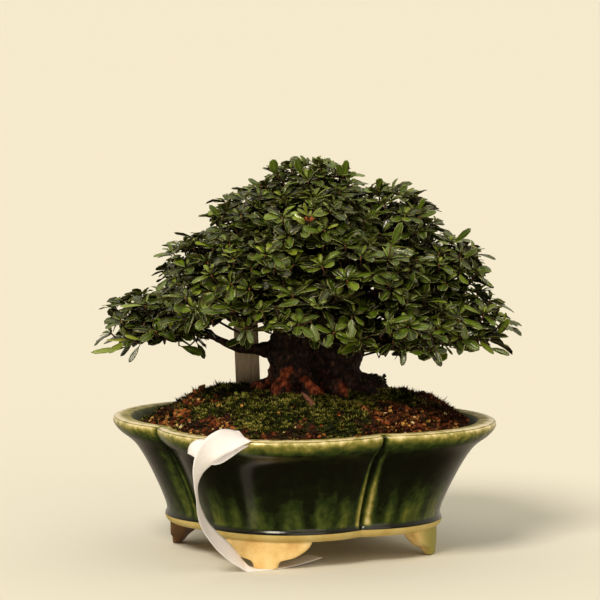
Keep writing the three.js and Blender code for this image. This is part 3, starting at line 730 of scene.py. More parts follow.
def foot(turn, sole, breadth):
    """One cloud foot: a thick curved plate with a stepped outline, rounded along its edges."""
    line = smooth_line(FOOT_OUTLINE) * [breadth, 1]
    line[:, 1] = np.maximum(line[:, 1], sole)
    c, s = math.cos(turn), math.sin(turn)
    rings = []
    for half, z in line:
        thick = np.interp(z, [1, 7, 20], [6, 10.5, 15]) if z > 1 else 6 - 1.2 * (1 - z)
        inset = 1.2 * max(0, 1 - z) + (0.6 if z <= sole else 0)
        corner = min(FOOT_ROUNDING, thick * 0.4, half * 0.4)
        loop = []
        for n, (right, front) in enumerate(((1, 1), (-1, 1), (-1, -1), (1, -1))):
            for a in (n + np.arange(5) / 4) * QUARTER:
                along = right * (half - inset - corner) + corner * math.cos(a)
                deep = front * (thick / 2 - inset * 0.4 - corner) + corner * math.sin(a)
                loop.append((along, deep))
        loop = np.array(loop + loop[:1])
        so_far = gone(loop)
        even = np.linspace(0, so_far[-1], FOOT_POINTS, endpoint=False)
        along, deep = np.interp(even, so_far, loop[:, 0]), np.interp(even, so_far, loop[:, 1])
        radius = FOOT_ARC - thick / 2 - deep
        bearing = -along / FOOT_ARC
        x = LOBE_CENTRE * BASE_REACH + radius * np.cos(bearing)
        y = radius * np.sin(bearing)
        rings.append(np.stack([x * c - y * s, x * s + y * c, np.full(FOOT_POINTS, z)], -1))
    return np.vstack([*rings, rings[0].mean(0), rings[-1].mean(0)]), closed(len(rings), FOOT_POINTS)


def pot_feet(clay):
    """The four cloud feet, with glaze down the outer half of the right one."""
    points, faces, glazed, smoke_and_shade, start = [], [], [], [], 0
    for k, (sole, breadth, ran, smoke_and_shade_share) in enumerate(FEET):
        turn = POT_TURN + k * QUARTER
        made, parts = foot(turn, sole, breadth)
        points.append(made)
        faces += [part + start for part in parts]
        start += len(made)
        outward = made[:, 0] * math.cos(turn) + made[:, 1] * math.sin(turn)
        glazed.append(ran * smoothstep(BASE_REACH * 0.9, BASE_REACH * 0.97, outward))
        # the left foot's share of smoke stain and painted shade
        smoke_and_shade.append(np.full(len(made), smoke_and_shade_share))
    marks = {"glazed": np.concatenate(glazed), "smoke_and_shade": np.concatenate(smoke_and_shade)}
    keep(build("pot_feet", np.vstack(points), faces, [clay], marks=marks), "glaze")


# The soil and what grows on it.
def cushions(x, y):
    """The moss's cushions, from 0 in the gaps between them to about 1 on top."""
    return 0.62 * np.sqrt(np.abs(hills(x, y, 11, 5))) + 0.38 * np.sqrt(np.abs(hills(x, y, 5, 7)))


def share_out(x, y):
    """How far out on the mound a place lies, from 0 in the middle to 1 at the pot's wall."""
    return np.hypot(x, y) / (SOIL_REACH * lobed(np.arctan2(y, x) - POT_TURN))


def ground(x, y):
    """Height of the mound, which comes down to the pot's wall all round."""
    out = np.hypot(x, y) / (1 + 0.07 * x / RIM_REACH)
    hump = 1.3 * np.sin(x * 0.11 + 1) * np.cos(y * 0.13) * np.minimum(1, (MOUND[-1][0] - out) / 30)
    height = np.interp(out, *zip(*MOUND)) + hump
    height = height + 5.2 * (cushions(x, y) - 0.62) * (0.3 + 0.7 * moss_cover(x, y)) + 0.5 * hills(x, y, 4, 6)
    height = height + 3.5 * bell(x, -68, 17) * bell(y, 4, 30)
    height = height + 3.6 * untidy(x, y) * np.clip(hills(x, y, 7, 31) + 0.2, 0, 1)
    edge = SOIL_EDGE + 4 * smoothstep(60, 105, x)
    return height + (edge - height) * smoothstep(0.86, 1.0, share_out(x, y))


def on_ground(x, y, above):
    """A place this far above the mound."""
    return np.array([x, y, float(ground(x, y)) + above])


def untidy(x, y):
    """Where old dark moss stands up in lumps: on the left of the mound's top, and towards its right end."""
    left = smoothstep(-28, -46, x) * smoothstep(-36, -12, y)
    return np.maximum(left, smoothstep(58, 76, x) * smoothstep(-60, -30, y))


def moss_cover(x, y):
    """How thickly the moss grows, from 0 to 1: lush in front and on the left, thin elsewhere."""
    front = smoothstep(20, -60, y) * smoothstep(75, 20, np.abs(x + 12))
    patches = 0.42 * hills(x, y, 24, 3) + 0.25 * hills(x, y, 9, 4)
    cover = 1.25 - 1.15 * share_out(x, y) + patches + 0.34 * front - 0.003 * np.maximum(x - 20, 0)
    return smoothstep(0.2, 0.62, cover)


def soil_mound(finish):
    angles = lobe_angles()
    columns = len(angles)
    wall = SOIL_REACH * lobed(angles)
    x, y = turned(np.linspace(0.012, 1.0, 84)[:, None] * wall, angles)
    top = np.stack([x, y, ground(x, y)], -1)
    below = []
    for reach, z in SOIL_SIDE:
        x, y = turned(reach * lobed(angles), angles)
        below.append(np.stack([x, y, np.full(columns, z)], -1))
    rings = np.concatenate([top, below])[::-1]
    points = np.vstack([rings.reshape(-1, 3), [0, 0, SOIL_SIDE[-1][1]], on_ground(0.0, 0.0, 0.0)])
    marks = {"moss": moss_cover(points[:, 0], points[:, 1])}
    keep(build("soil_mound", points, closed(len(rings), columns), [finish], marks=marks), "soil", "soil")


def scattered(count, seed, accept):
    """Places on the mound, kept with the chance that accept gives."""
    draw = np.random.default_rng(seed)
    x, y = draw.uniform(-130, 130, (2, count * 6))
    share = share_out(x, y)
    off_trunk = np.hypot((x - TRUNK_MIDDLE) / 34, y / 27) > 1
    kept = (share < 0.985) & off_trunk & (draw.uniform(size=count * 6) < accept(x, y, share))
    return x[kept][:count], y[kept][:count], draw


# A lump with twenty sides, for a grain: its corners lie on three rectangles, square to each other.
SHORT, LONG = 0.5257, 0.8507
SIGNS = [(s, t) for s in (-1, 1) for t in (-1, 1)]
LUMP = np.array(
    [[s * SHORT, t * LONG, 0] for s, t in SIGNS]
    + [[0, s * SHORT, t * LONG] for s, t in SIGNS]
    + [[s * LONG, 0, t * SHORT] for s, t in SIGNS]
)


def hull_faces(points):
    """The outward faces of the shell round a few points."""
    faces = []
    for i, j, k in itertools.permutations(range(len(points)), 3):
        normal = np.cross(points[j] - points[i], points[k] - points[i])
        if i < min(j, k) and np.linalg.norm(normal) > 1e-6 and np.all((points - points[i]) @ normal < 1e-6):
            faces.append((i, j, k))
    return np.array(faces)


def clay_grains(finish):
    """Loose baked clay grains, thickest near the rim."""
    accept = lambda x, y, share: (1.02 - moss_cover(x, y)) * smoothstep(0.35, 0.8, share)
    x, y, draw = scattered(3600, 11, accept)
    count, corners = len(x), len(LUMP)
    size = draw.uniform(0.8, 2.1, count) * (1 + 0.5 * (draw.uniform(size=count) > 0.9))
    lumps = LUMP[None] * draw.uniform(0.78, 1.2, (count, corners, 1)) * size[:, None, None]
    lumps[:, :, 2] *= 0.75
    turn = draw.uniform(0, 2 * math.pi, count)
    c, s = np.cos(turn)[:, None], np.sin(turn)[:, None]
    tilt = draw.uniform(-0.5, 0.5, count)[:, None]
    px = lumps[:, :, 0] * c - lumps[:, :, 1] * s
    py = lumps[:, :, 0] * s + lumps[:, :, 1] * c
    pz = lumps[:, :, 2] + px * tilt
    middle = np.stack([x, y, ground(x, y) + 0.25 * size], -1)
    points = (np.stack([px, py, pz], -1) + middle[:, None]).reshape(-1, 3)
    tone = np.clip(0.28 + 0.2 * hills(x, y, 16, 8) + draw.normal(0, 0.28, count), 0, 1)
    marks = {"tone": np.repeat(tone, corners)}
    faces = repeated([hull_faces(LUMP)], corners, count)
    keep(build("clay_grains", points, faces, [finish], marks=marks, smooth=False), "soil")


def moss(finish):
    """Moss: small tufts of five pointed leaves, close on their cushions, and dry ones between the grains."""
    accept = lambda x, y, share: np.maximum(moss_cover(x, y), 0.34 + 0.3 * smoothstep(45, 80, x))
    x, y, draw = scattered(16000, 12, accept)
    count, blades = len(x), 5
    slope_x = (ground(x + 0.5, y) - ground(x - 0.5, y))[:, None]
    slope_y = (ground(x, y + 0.5) - ground(x, y - 0.5))[:, None]
    proud = draw.uniform(size=count) > 0.8
    old = untidy(x, y)
    tall = (draw.uniform(1.0, 2.2, count) * (1 + 0.6 * proud + 0.9 * old * draw.uniform(size=count)))[:, None]
    turn = draw.uniform(0, 2 * math.pi, (count, 1)) + np.arange(blades) * 2 * math.pi / blades
    c, s = np.cos(turn), np.sin(turn)
    spread = tall * draw.uniform(0.5, 1.15, (count, blades))
    wide = draw.uniform(0.34, 0.66, (count, blades)) * (1 + 0.3 * proud[:, None])
    origin = np.stack([x, y, ground(x, y) - 0.3], -1)[:, None]
    aside = np.stack([-s * wide, c * wide, 0 * c], -1)
    lean = np.stack([c * spread - 0.5 * slope_x * tall, s * spread - 0.5 * slope_y * tall, tall + 0 * c], -1)
    points = np.stack([origin + aside, origin - aside, origin + lean], axis=2).reshape(-1, 3)
    faces = np.arange(count * blades * 3).reshape(-1, 3)
    # painted shade: tufts in the hollows between the cushions are darker and those on top lighter; the rest
    # is tone that differs at random, lighter for proud tufts and darker for old moss
    shade = -0.4 + 0.94 * cushions(x, y) + 0.2 * hills(x, y, 14, 9) + 0.34 * proud - 0.3 * old
    shade = np.clip(shade + draw.normal(0, 0.3, count), 0, 1)[:, None, None]
    tone = np.clip(shade + np.tile([-0.3, -0.3, 0.3], (blades, 1)), 0, 1)
    dry = np.clip(1 - 1.5 * moss_cover(x, y) + draw.normal(0, 0.25, count), 0, 1) * smoothstep(-130, 60, x)
    marks = {"tone": tone.ravel(), "dry": np.repeat(dry, blades * 3)}
    keep(build("moss_tufts", points, [faces], [finish], marks=marks, smooth=False), "soil")


def sprigs(stem, face, back):
    """Dry grass ends and seedlings that stand up from the mound, and the weed behind the trunk."""
    draw = np.random.default_rng(13)
    paths, radii, shoots = [], [], []
    for _ in range(150):
        turn, share = draw.uniform(0, 2 * math.pi), draw.uniform(0.45, 0.95)
        reach = share * SOIL_REACH * float(lobed(turn - POT_TURN))
        lean, tall = draw.normal(0, 2.0, 2), draw.uniform(2.5, 7.0)
        low = on_ground(reach * math.cos(turn), reach * math.sin(turn), -0.5)
        top = low + [*lean, tall]
        paths.append([low, (low + top) / 2 + [0, 0, 0.6], top])
        radii.append([0.4, 0.3, 0.15])
    for x, y, tall in WEEDS:
        low = on_ground(x, y, -0.5)
        top = low + [draw.normal(0, 1.5), 0, tall]
        paths.append([low, (low + top) / 2, top])
        radii.append([0.75, 0.7, 0.5])
        for share in (0.35, 0.6, 0.8, 0.97):
            blades = [(draw.uniform(0, 6.3), draw.uniform(3, 5), draw.uniform(5, 70), 1.7) for _ in range(6)]
            shoots.append((low + (top - low) * share, unit(np.append(draw.normal(0, 0.5, 2), 1.0)), blades))
    grow_stems("grass_ends", paths, radii, [0.2, 0.5, 0.8], stem, "soil")
    leafy("weed_leaves", [leaves_of(shoots, PLAIN_BLADE, draw, lambda hub: (0.15, 0.0))], face, back, "soil")


def litter(face, back, dead):
    """One fallen leaf, dry and curled, and a clover seedling on the moss."""
    draw = np.random.default_rng(14)
    fallen = leaf_between((-2, -52, 125.5), (13, -67, 113), (0.25, -0.7, 0.65), 3.4)
    leafy("fallen_leaf", [leaves_of([fallen], BLADE, draw, lambda hub: (0.5, 0.0))], dead, dead, "soil")
    leaflets = [(k * 2.1 + 0.4, 3.8, 14, 1.9) for k in range(3)]
    clover = (on_ground(-47.0, -40.0, 3.5), unit(np.array([0.1, -0.5, 0.8])), leaflets)
    leafy("clover", [leaves_of([clover], PLAIN_BLADE, draw, lambda hub: (0.7, 0.75))], face, back, "soil")


# The wood.
def wood(bark):
    """The trunk, roots and limbs, with their bark: the solid's own shape, rounded and furrowed."""
    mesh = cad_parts["trunk"].data.copy()
    mesh.name = "azalea_wood"
    piece = bpy.data.objects.new("azalea_wood", mesh)
    bpy.context.scene.collection.objects.link(piece)
    remesh = piece.modifiers.new("even", "REMESH")
    remesh.mode = "VOXEL"
    remesh.voxel_size = 1.35 * MM
    relax = piece.modifiers.new("round", "SMOOTH")
    relax.factor = 0.5
    relax.iterations = 9
    settle(piece)
    mesh = piece.data
    count = len(mesh.vertices)
    points, normals = np.empty(count * 3), np.empty(count * 3)
    mesh.vertices.foreach_get("co", points)
    mesh.vertices.foreach_get("normal", normals)
    points, normals = points.reshape(-1, 3) / MM - AXIS, normals.reshape(-1, 3)
    x, y, z = points.T
    bearing = np.degrees(np.arctan2(y, x - TRUNK_MIDDLE))
    below_crown = smoothstep(172, 160, z)
    thick = below_crown * np.maximum(smoothstep(38, 26, np.abs(x - 9)), smoothstep(142, 132, z))
    furrows = hills(bearing * 0.45, z * 0.4, 4.4, 21) * 1.1
    knots = hills(x + z * 0.7, y + z * 0.5, 8, 22) * 2.2
    knots = knots + 3.2 * (0.4 - np.abs(hills(bearing * 0.5, z, 7, 25)))
    flakes = hills(bearing * 0.8, z, 3.4, 23) * 1.3 + hills(x * 1.2 + z, y * 1.2 - z, 2.6, 24) * 0.9
    # two boles grown together, swollen at the middle and drawn in above the roots
    bole = below_crown * smoothstep(122, 134, z)
    boles = 3.2 * (bell(x, -9, 11) + bell(x, 27, 12)) - 8 * bell(x, 9.5, 3.2)
    waist = 2.4 * bell(z, 151, 7) - 1.8 * bell(z, 137, 5)
    # bare red roots run down the front
    root = np.zeros(count)
    for (x0, z0), (x1, z1) in BARE_ROOTS:
        run, drop = x1 - x0, z1 - z0
        along = np.clip(((x - x0) * run + (z - z0) * drop) / (run**2 + drop**2), 0, 1)
        away = np.hypot(x - x0 - along * run, z - z0 - along * drop)
        root = np.maximum(root, bell(away, 0, 4.6) * smoothstep(6, -8, y))
    swell = smoothstep(8, -10, y) * bole * boles + waist * bole + 3.0 * root
    slim = 2.3 * smoothstep(-28, -38, x) * smoothstep(176, 168, z)
    out = (furrows + knots) * thick + flakes * (0.35 + 0.65 * thick) + swell - slim
    points = points + normals * out[:, None]
    # the low left limb sweeps up to its leaves
    points[:, 2] += 9 * smoothstep(-44, -78, x) * smoothstep(25, 10, np.abs(y)) * smoothstep(176, 166, z)
    mesh.vertices.foreach_set("co", place(points).ravel())
    rooty = smoothstep(146, 126, z) * smoothstep(30, 14, x)
    for name, values in (("bare", root), ("rooty", rooty)):
        mesh.attributes.new(name, "FLOAT", "POINT").data.foreach_set("value", values)
    mesh.update()
    mesh.materials.clear()
    mesh.materials.append(bark)
    mesh.polygons.foreach_set("use_smooth", np.ones(len(mesh.polygons), bool))
    keep(piece, "bark", "trunk")


# The leaves.
def dice(seed):
    """A repeatable draw of numbers from 0 to 1, the one that the solid's whorls are placed by."""
    state = seed

    def draw():
        nonlocal state
        state = (state * 1664525 + 1013904223) % 2**32
        return state / 2**32

    return draw


def inside_other(hub, own, share):
    """Whether a place lies in the inner share of a cloud other than its own."""
    return any(
        name != own and np.linalg.norm((hub - centre) / radii) < share
        for name, (centre, radii) in CLOUDS.items()
    )


def upward(way, radii, turned_up):
    """The direction that a shoot grows in: out of its cloud, and turned up to the light."""
    return unit(unit(way / radii) + np.array([0, 0, turned_up]))


def solid_shoots(name, seed):
    """The shoots that the cloud's solid is made from."""
    centre, radii = CLOUDS[name]
    draw = dice(seed)
    highest, lowest = SHOOT_HEIGHTS
    shoots = []
    for k in range(SHOOT_PLACES):
        i = (k * 5) % SHOOT_PLACES
        z = highest + (lowest - highest) * (i + 0.5 * draw()) / SHOOT_PLACES
        angle = i * GOLDEN_TURN + seed + 0.5 * draw()
        flat = math.sqrt(1 - z * z)
        way = np.array([flat * math.cos(angle), flat * math.sin(angle), z])
        hub = centre + way * radii * 0.9
        leaves = 5 + int(2 * draw())
        own = dice(int(draw() * 1e6))
        if inside_other(hub, name, 0.86):
            continue
        turn = own() * 2 * math.pi
        angles = [turn + (n + 0.36 * (own() - 0.5)) * 2 * math.pi / leaves for n in range(leaves)]
        blades = [
            (angle, LEAF * (0.8 + 0.4 * own()), 2 + 40 * own(), LEAF_HALF_WIDTH * (1.0 + 0.35 * own()))
            for angle in angles
        ]
        shoots.append((hub, upward(way, radii, 1.3), blades))
    return shoots


def ways(count, lowest):
    """Evenly spread directions, from straight up to this lowest height."""
    i = np.arange(count) + 0.5
    z = 1 + (lowest - 1) * i / count
    angle = i * GOLDEN_TURN
    flat = np.sqrt(1 - z * z)
    return np.stack([flat * np.cos(angle), flat * np.sin(angle), z], -1)


def more_shoots(name, draw, taken, share, count, lowest, clearance, hidden, scale=1.0):
    """Shoots between the solid's own, or on a layer deeper in the cloud.

    share is how far out in the cloud they stand. None stands within clearance of a place in the list taken,
    or inside the hidden share of another cloud.
    """
    centre, radii = CLOUDS[name]
    shoots = []
    for way in ways(count, lowest):
        way = unit(way + draw.normal(0, 0.07, 3))
        hub = centre + way * radii * share * draw.uniform(0.93, 1.05)
        if inside_other(hub, name, hidden):
            continue
        if len(taken) and np.min(np.linalg.norm(np.array(taken) - hub, axis=1)) < clearance:
            continue
        taken.append(hub)
        leaves = draw.integers(5, 8)
        turn = draw.uniform(0, 2 * math.pi)
        blades = []
        for n in range(leaves):
            angle = turn + (n + draw.uniform(-0.2, 0.2)) * 2 * math.pi / leaves
            long, rise = LEAF * scale * draw.uniform(0.75, 1.2), draw.uniform(-14, 44)
            blades.append((angle, long, rise, LEAF_HALF_WIDTH * scale * draw.uniform(1.0, 1.5)))
        shoots.append((hub, unit(upward(way, radii, 1.7) + draw.normal(0, 0.2, 3)), blades))
    return shoots


def in_the_way(points):
    """Whether each leaf or stem, a row of points, would close one of the places to look through."""
    x, height = points[..., 0], points[..., 2] + points[..., 1] * math.tan(math.radians(ELEVATION))
    blocked = np.zeros(len(points), bool)
    for (x0, z0), (wide, tall) in LOOK_THROUGH:
        blocked |= (((x - x0) / wide) ** 2 + ((height - z0) / tall) ** 2 < 1).any(axis=1)
    return blocked


def leaf_pattern(rows, columns):
    """Faces of one leaf: its upper face, then its back, joined along the margin; and its number of points."""
    base, tip = 0, 1 + rows * columns + rows
    face = lambda r, c: 1 + r * columns + c
    rib = lambda r: 1 + rows * columns + r
    end, last = columns - 1, rows - 1
    top3 = [(base, face(0, c), face(0, c + 1)) for c in range(end)]
    top3 += [(face(last, c), tip, face(last, c + 1)) for c in range(end)]
    top4 = [
        (face(r, c), face(r + 1, c), face(r + 1, c + 1), face(r, c + 1))
        for r in range(last)
        for c in range(end)
    ]
    back3 = [(base, face(0, end), rib(0)), (base, rib(0), face(0, 0))]
    back3 += [(face(last, 0), rib(last), tip), (rib(last), face(last, end), tip)]
    back4 = []
    for r in range(last):
        back4.append((face(r, 0), rib(r), rib(r + 1), face(r + 1, 0)))
        back4.append((rib(r), face(r, end), face(r + 1, end), rib(r + 1)))
    return [np.array(part) for part in (top3, top4, back3, back4)], tip + 1


def square_to(axis):
    """Two directions square to a shoot's axis and to each other."""
    turn = Vector((0, 0, 1)).rotation_difference(Vector(axis))
    return np.array(turn @ Vector((1, 0, 0))), np.array(turn @ Vector((0, 1, 0)))


def leaves_of(shoots, blade, draw, shade):
    """All leaves of some shoots as one set of points and faces. shade gives each leaf's tone and youth."""
    columns, outline = blade
    ways_out, sizes, shades = [], [], []
    for hub, axis, blades in shoots:
        x, y = square_to(axis)
        for angle, long, rise, wide in blades:
            out = x * math.cos(angle) + y * math.sin(angle)
            ways_out.append((hub, out, np.cross(axis, out), axis))
            sizes.append((long, math.radians(rise), wide))
            shades.append(shade(hub))
    hubs, outs, sides, axes = np.array(ways_out).transpose(1, 0, 2)[:, :, None, None]
    long, rise, wide = np.array(sizes).T[:, :, None, None]
    count, rows = len(hubs), len(outline)
    t, w = np.array(outline).T[:, None, :, None]
    w = w * wide
    across = np.linspace(-1, 1, columns)
    droop = draw.uniform(0.3, 0.7, (count, 1, 1))
    fold = draw.uniform(-0.14, 0.4, (count, 1, 1))
    twist = draw.normal(0, 0.26, (count, 1, 1))
    bend = draw.normal(0, 0.05, (count, 1, 1)) * long

    def line(s):
        """How far out and how far up a leaf has come at this share of its length."""
        out = LEAF_START + long * s * np.cos(rise * (1 - 0.45 * s))
        return out, long * s * np.sin(rise * (1 - droop * s))

    def at(s):
        out, up = line(s)
        return hubs + outs * out[..., None] + axes * up[..., None] + sides * (bend * s * s)[..., None]

    go_out, go_up = np.subtract(line(t + 0.05), line(t - 0.05))
    normal = unit(axes * go_out[..., None] - outs * go_up[..., None])
    cos, sin = np.cos(twist * t)[..., None], np.sin(twist * t)[..., None]
    side, normal = sides * cos + normal * sin, normal * cos - sides * sin
    hollow = fold * np.abs(across) ** 1.5 * w + 0.05 * w * np.sin(across * 3 + t * 9)
    face = at(t) + side * (across * w)[..., None] + normal * hollow[..., None]
    rib = at(t)[:, :, 0] - normal[:, :, 0] * 0.4
    base, tip = at(np.zeros((1, 1, 1)))[:, :, 0], at(np.ones((1, 1, 1)))[:, :, 0]
    points = np.concatenate([base, face.reshape(count, -1, 3), rib, tip], axis=1)
    kept = ~in_the_way(points)
    points, shades = points[kept], np.array(shades, float)[kept]
    u = np.concatenate([[0.5], np.tile((across + 1) / 2, rows), np.full(rows, 0.5), [0.5]])
    v = np.concatenate([[0], np.repeat(t.ravel(), columns), t.ravel(), [1]])
    uv = np.tile(np.stack([u, v], -1), (len(points), 1))
    parts, size = leaf_pattern(rows, columns)
    return points.reshape(-1, 3), repeated(parts, size, len(points)), uv, *np.repeat(shades, size, axis=0).T


def leafy(name, sets, face, back, slot, *nodes):
    """One piece from sets of leaves: faces in the first material, backs in the second."""
    points, faces, pick, start = [], [], [], 0
    for made, parts, *_ in sets:
        points.append(made)
        for n, part in enumerate(parts):
            faces.append(part + start)
            pick.append(np.full(len(part), n // 2))
        start += len(made)
    uv, tone, youth = (np.concatenate([made[n] for made in sets]) for n in (2, 3, 4))
    marks = {"tone": tone, "youth": youth}
    piece = build(name, np.vstack(points), faces, [face, back], np.concatenate(pick), uv, marks)
    keep(piece, slot, *nodes)


def leaf_between(base, tip, facing, half_width):
    """A shoot with a single leaf that runs from base to tip and shows its upper face this way."""
    base, tip, facing = np.array([base, tip, facing], float)
    out = unit(tip - base)
    axis = unit(facing - out * (facing @ out))
    x, y = square_to(axis)
    angle = math.atan2(out @ y, out @ x)
    return base - out * 1.2, axis, [(angle, float(np.linalg.norm(tip - base)), 7, half_width)]


def surface_of_crown(x, z):
    """How far forward the crown reaches at this place in the front view."""
    front = [-20.0]
    for centre, radii in CLOUDS.values():
        depth = 1 - ((x - centre[0]) / radii[0]) ** 2 - ((z - centre[2]) / radii[2]) ** 2
        if depth > 0:
            front.append(centre[1] - radii[1] * math.sqrt(depth))
    return min(front)


def chosen_leaves(face, back, stem, hubs):
    """The leaves that stand out on the front: large ones that face the light, yellow ones, hanging ones."""
    draw = np.random.default_rng(17)
    sets, paths = [], []
    for (x0, z0), (x1, z1), half_width, tone, youth in CHOSEN_LEAVES:
        base = np.array([x0, surface_of_crown(x0, z0) - 1, z0], float)
        tip = np.array([x1, base[1] - 4, z1], float)
        shoot = leaf_between(base, tip, (-0.1, -0.75, 0.65), half_width)
        sets.append(leaves_of([shoot], BLADE, draw, lambda hub: (tone, youth)))
        nearest = hubs[np.argmin(np.linalg.norm(hubs - base, axis=1))]
        out = unit(tip - base)
        paths.append([nearest, nearest + (base - nearest) * 0.5 - [0, 0, 0.5], base - out * 1.2, base + out])
    grow_stems("chosen_stems", paths, [0.8, 0.65, 0.55, 0.4], [0.5, 0.7, 0.85, 1.0], stem, "bark")
    leafy("chosen_leaves", sets, face, back, "foliage")


def resting_bud(scales):
    """A flower bud in its rusty scales, among young leaves."""
    draw = np.random.default_rng(18)
    x, z = 4.0, 253.0
    hub = np.array([x, surface_of_crown(x, z) - 3, z])
    wrapped = [(k * 2.4, 4.6 - 0.2 * k, 86, 1.1) for k in range(6)]
    shoot = (hub, unit(np.array([0.1, -0.25, 1.0])), wrapped)
    made = leaves_of([shoot], PLAIN_BLADE, draw, lambda hub: (0.6, 0.0))
    leafy("resting_bud", [made], scales, scales, "foliage")


def grow_stems(name, paths, radii, youth, finish, slot):
    """Tapered stems along paths, with a radius and a youth for each point of a path."""
    paths = np.asarray(paths, float)
    count, rows = paths.shape[:2]
    radii = np.broadcast_to(radii, (count, rows))
    along = unit(np.gradient(paths, axis=1) + 1e-9)
    helper = np.where(np.abs(along[..., 2:]) > 0.9, [1.0, 0, 0], [0, 0, 1.0])
    first = unit(np.cross(along, helper))
    second = np.cross(along, first)
    turn = np.arange(STEM_SIDES) / STEM_SIDES * 2 * math.pi
    ring = first[:, :, None] * np.cos(turn)[:, None] + second[:, :, None] * np.sin(turn)[:, None]
    points = paths[:, :, None] + ring * radii[:, :, None, None]
    points = np.concatenate([points.reshape(count, -1, 3), paths[:, :1], paths[:, -1:]], axis=1)
    faces = repeated(closed(rows, STEM_SIDES), rows * STEM_SIDES + 2, count)
    marks = {"youth": np.tile(np.append(np.repeat(youth, STEM_SIDES), [youth[0], youth[-1]]), count)}
    keep(build(name, points.reshape(-1, 3), faces, [finish], marks=marks), slot)


def steeper(shoot, by):
    """The same shoot with its leaves turned up by this many degrees more."""
    hub, axis, blades = shoot
    return hub, axis, [(angle, long, rise + by, wide) for angle, long, rise, wide in blades]


def foliage(face, back, twig):
    """Every cloud's leaves, then the twigs that carry them. Gives back the places of the shoots."""
    draw = np.random.default_rng(31)
    all_solid = {name: solid_shoots(name, k + 1) for k, name in enumerate(CLOUDS)}
    taken = [hub for shoots in all_solid.values() for hub, _, _ in shoots]
    stems = []
    about = lambda middle, spread, most=1.0: np.clip(draw.normal(middle, spread), 0, most)
    young = lambda hub: (about(0.62, 0.16), about(0.12, 0.12, 0.7))
    # painted shade: leaves deep inside a cloud get a dark tone
    painted_inner_shade = lambda hub: (about(0.12, 0.1), 0.0)
    for name, (centre, radii) in CLOUDS.items():
        tier = name.split("_")[0]
        scale = LEAF_SCALE[tier]
        lowest = -0.62 if tier == "skirt" else -0.38
        between = more_shoots(
            name, draw, taken, share=0.84, count=140, lowest=lowest, clearance=12.2 * scale, hidden=0.8,
            scale=scale,
        )
        inner = more_shoots(name, draw, taken, share=0.6, count=36, lowest=-0.7, clearance=11, hidden=0.6)
        deep = more_shoots(name, draw, taken, share=0.36, count=12, lowest=-0.8, clearance=11, hidden=0.4)
        if tier in ("apex", "crown"):
            between = [steeper(shoot, 18) for shoot in between]
        outer = all_solid[name] + between

        def in_light(hub):
            """Lighter high on its cloud. A few leaves are young, and more of them low down at the sides."""
            sunny = smoothstep(-0.6, 0.9, (hub[2] - centre[2]) / radii[2])
            fresh = 0.0
            if hub[0] < -95 and hub[2] < 175 and draw.uniform() < 0.14:
                fresh = 0.9
            if hub[0] > 95 and hub[2] < 180 and draw.uniform() < 0.2:
                fresh = 0.35
            if draw.uniform() < 0.008:
                fresh = max(fresh, 0.8)
            return about(0.3 + 0.12 * sunny, 0.28), fresh

        centre_leaves = []
        for hub, axis, _ in outer:
            few = draw.integers(3, 6)
            turn = draw.uniform(0, 2 * math.pi)
            blades = [
                (turn + n * 2.4, draw.uniform(5.5, 11.5), draw.uniform(48, 80), draw.uniform(1.3, 2.4))
                for n in range(few)
            ]
            centre_leaves.append((hub + axis * 1.2, axis, blades))
        sets = [
            leaves_of(outer, BLADE, draw, in_light),
            leaves_of(centre_leaves, PLAIN_BLADE, draw, young),
            leaves_of(inner + deep, PLAIN_BLADE, draw, painted_inner_shade),
        ]
        leafy("foliage_" + name, sets, face, back, "foliage", "leaves_" + name)
        root = centre * [0.96, 0.96, 1] - [0, 0, 0.3 * radii[2]]
        for hub, axis, _ in outer + inner + deep:
            inwards = hub + (root - hub) * 0.5 - axis * 3 + draw.normal(0, 1.5, 3)
            stems.append([root + (inwards - root) * 0.2, inwards, hub - axis * 7, hub + axis * 0.6])
    stems = np.array(stems)
    halfway = (stems[:, 1:] + stems[:, :-1]) / 2
    stems = stems[~in_the_way(np.concatenate([stems, halfway], axis=1))]
    grow_stems("twigs", stems, [1.5, 1.0, 0.75, 0.65], [0.0, 0.3, 0.7, 1.0], twig, "bark")
    return np.array(taken)


# The stake and the strip.
def name_stake(finish):
    """A planed slat with clipped corners, its edges worn round."""
    half, tall = STAKE["width"] / 2, STAKE["top"] - STAKE["foot"]
    point, clip = 9, 2
    outline = [
        (-half * 0.45, 0), (half * 0.45, 0), (half, point), (half, tall - clip), (half - clip, tall),
        (clip - half, tall), (-half, tall - clip), (-half, point),
    ]
    lean = math.radians(STAKE["lean"])
    c, s = math.cos(lean), math.sin(lean)
    points = []
    for y, inset in ((-0.5, 0.35), (-0.32, 0), (0.32, 0), (0.5, 0.35)):
        for x, z in outline:
            x = x * (1 - inset / half)
            z = z + (inset if z == 0 else -inset if z > tall - 3 else 0)
            deep = STAKE["y"] + y * STAKE["thickness"]
            points.append((STAKE["x"] + x * c + z * s, deep, STAKE["foot"] + z * c - x * s))
    points = np.array(points)
    sides = len(outline)
    points = np.vstack([points, points[:sides].mean(0), points[-sides:].mean(0)])
    piece = build("weathered_stake", points, closed(4, sides), [finish], smooth=False)
    keep(piece, "stake", "name_stake")


def even_curve(points, place_on):
    """A centripetal curve through points, at a place from 0 to 1, as the solid's strip is laid."""
    p = np.asarray(points, float)
    whole = min(int((len(p) - 1) * place_on), len(p) - 2)
    t = (len(p) - 1) * place_on - whole
    b, c = p[whole], p[whole + 1]
    a = p[whole - 1] if whole > 0 else 2 * b - c
    d = p[whole + 2] if whole + 2 < len(p) else 2 * c - b
    gap = lambda m, n: max(np.sum((m - n) ** 2) ** 0.25, 1e-4)
    ab, bc, cd = gap(a, b), gap(b, c), gap(c, d)
    start = ((b - a) / ab - (c - a) / (ab + bc) + (c - b) / bc) * bc
    end = ((c - b) / bc - (d - b) / (bc + cd) + (d - c) / cd) * bc
    return b + start * t + (3 * (c - b) - 2 * start - end) * t * t + (2 * (b - c) + start + end) * t**3


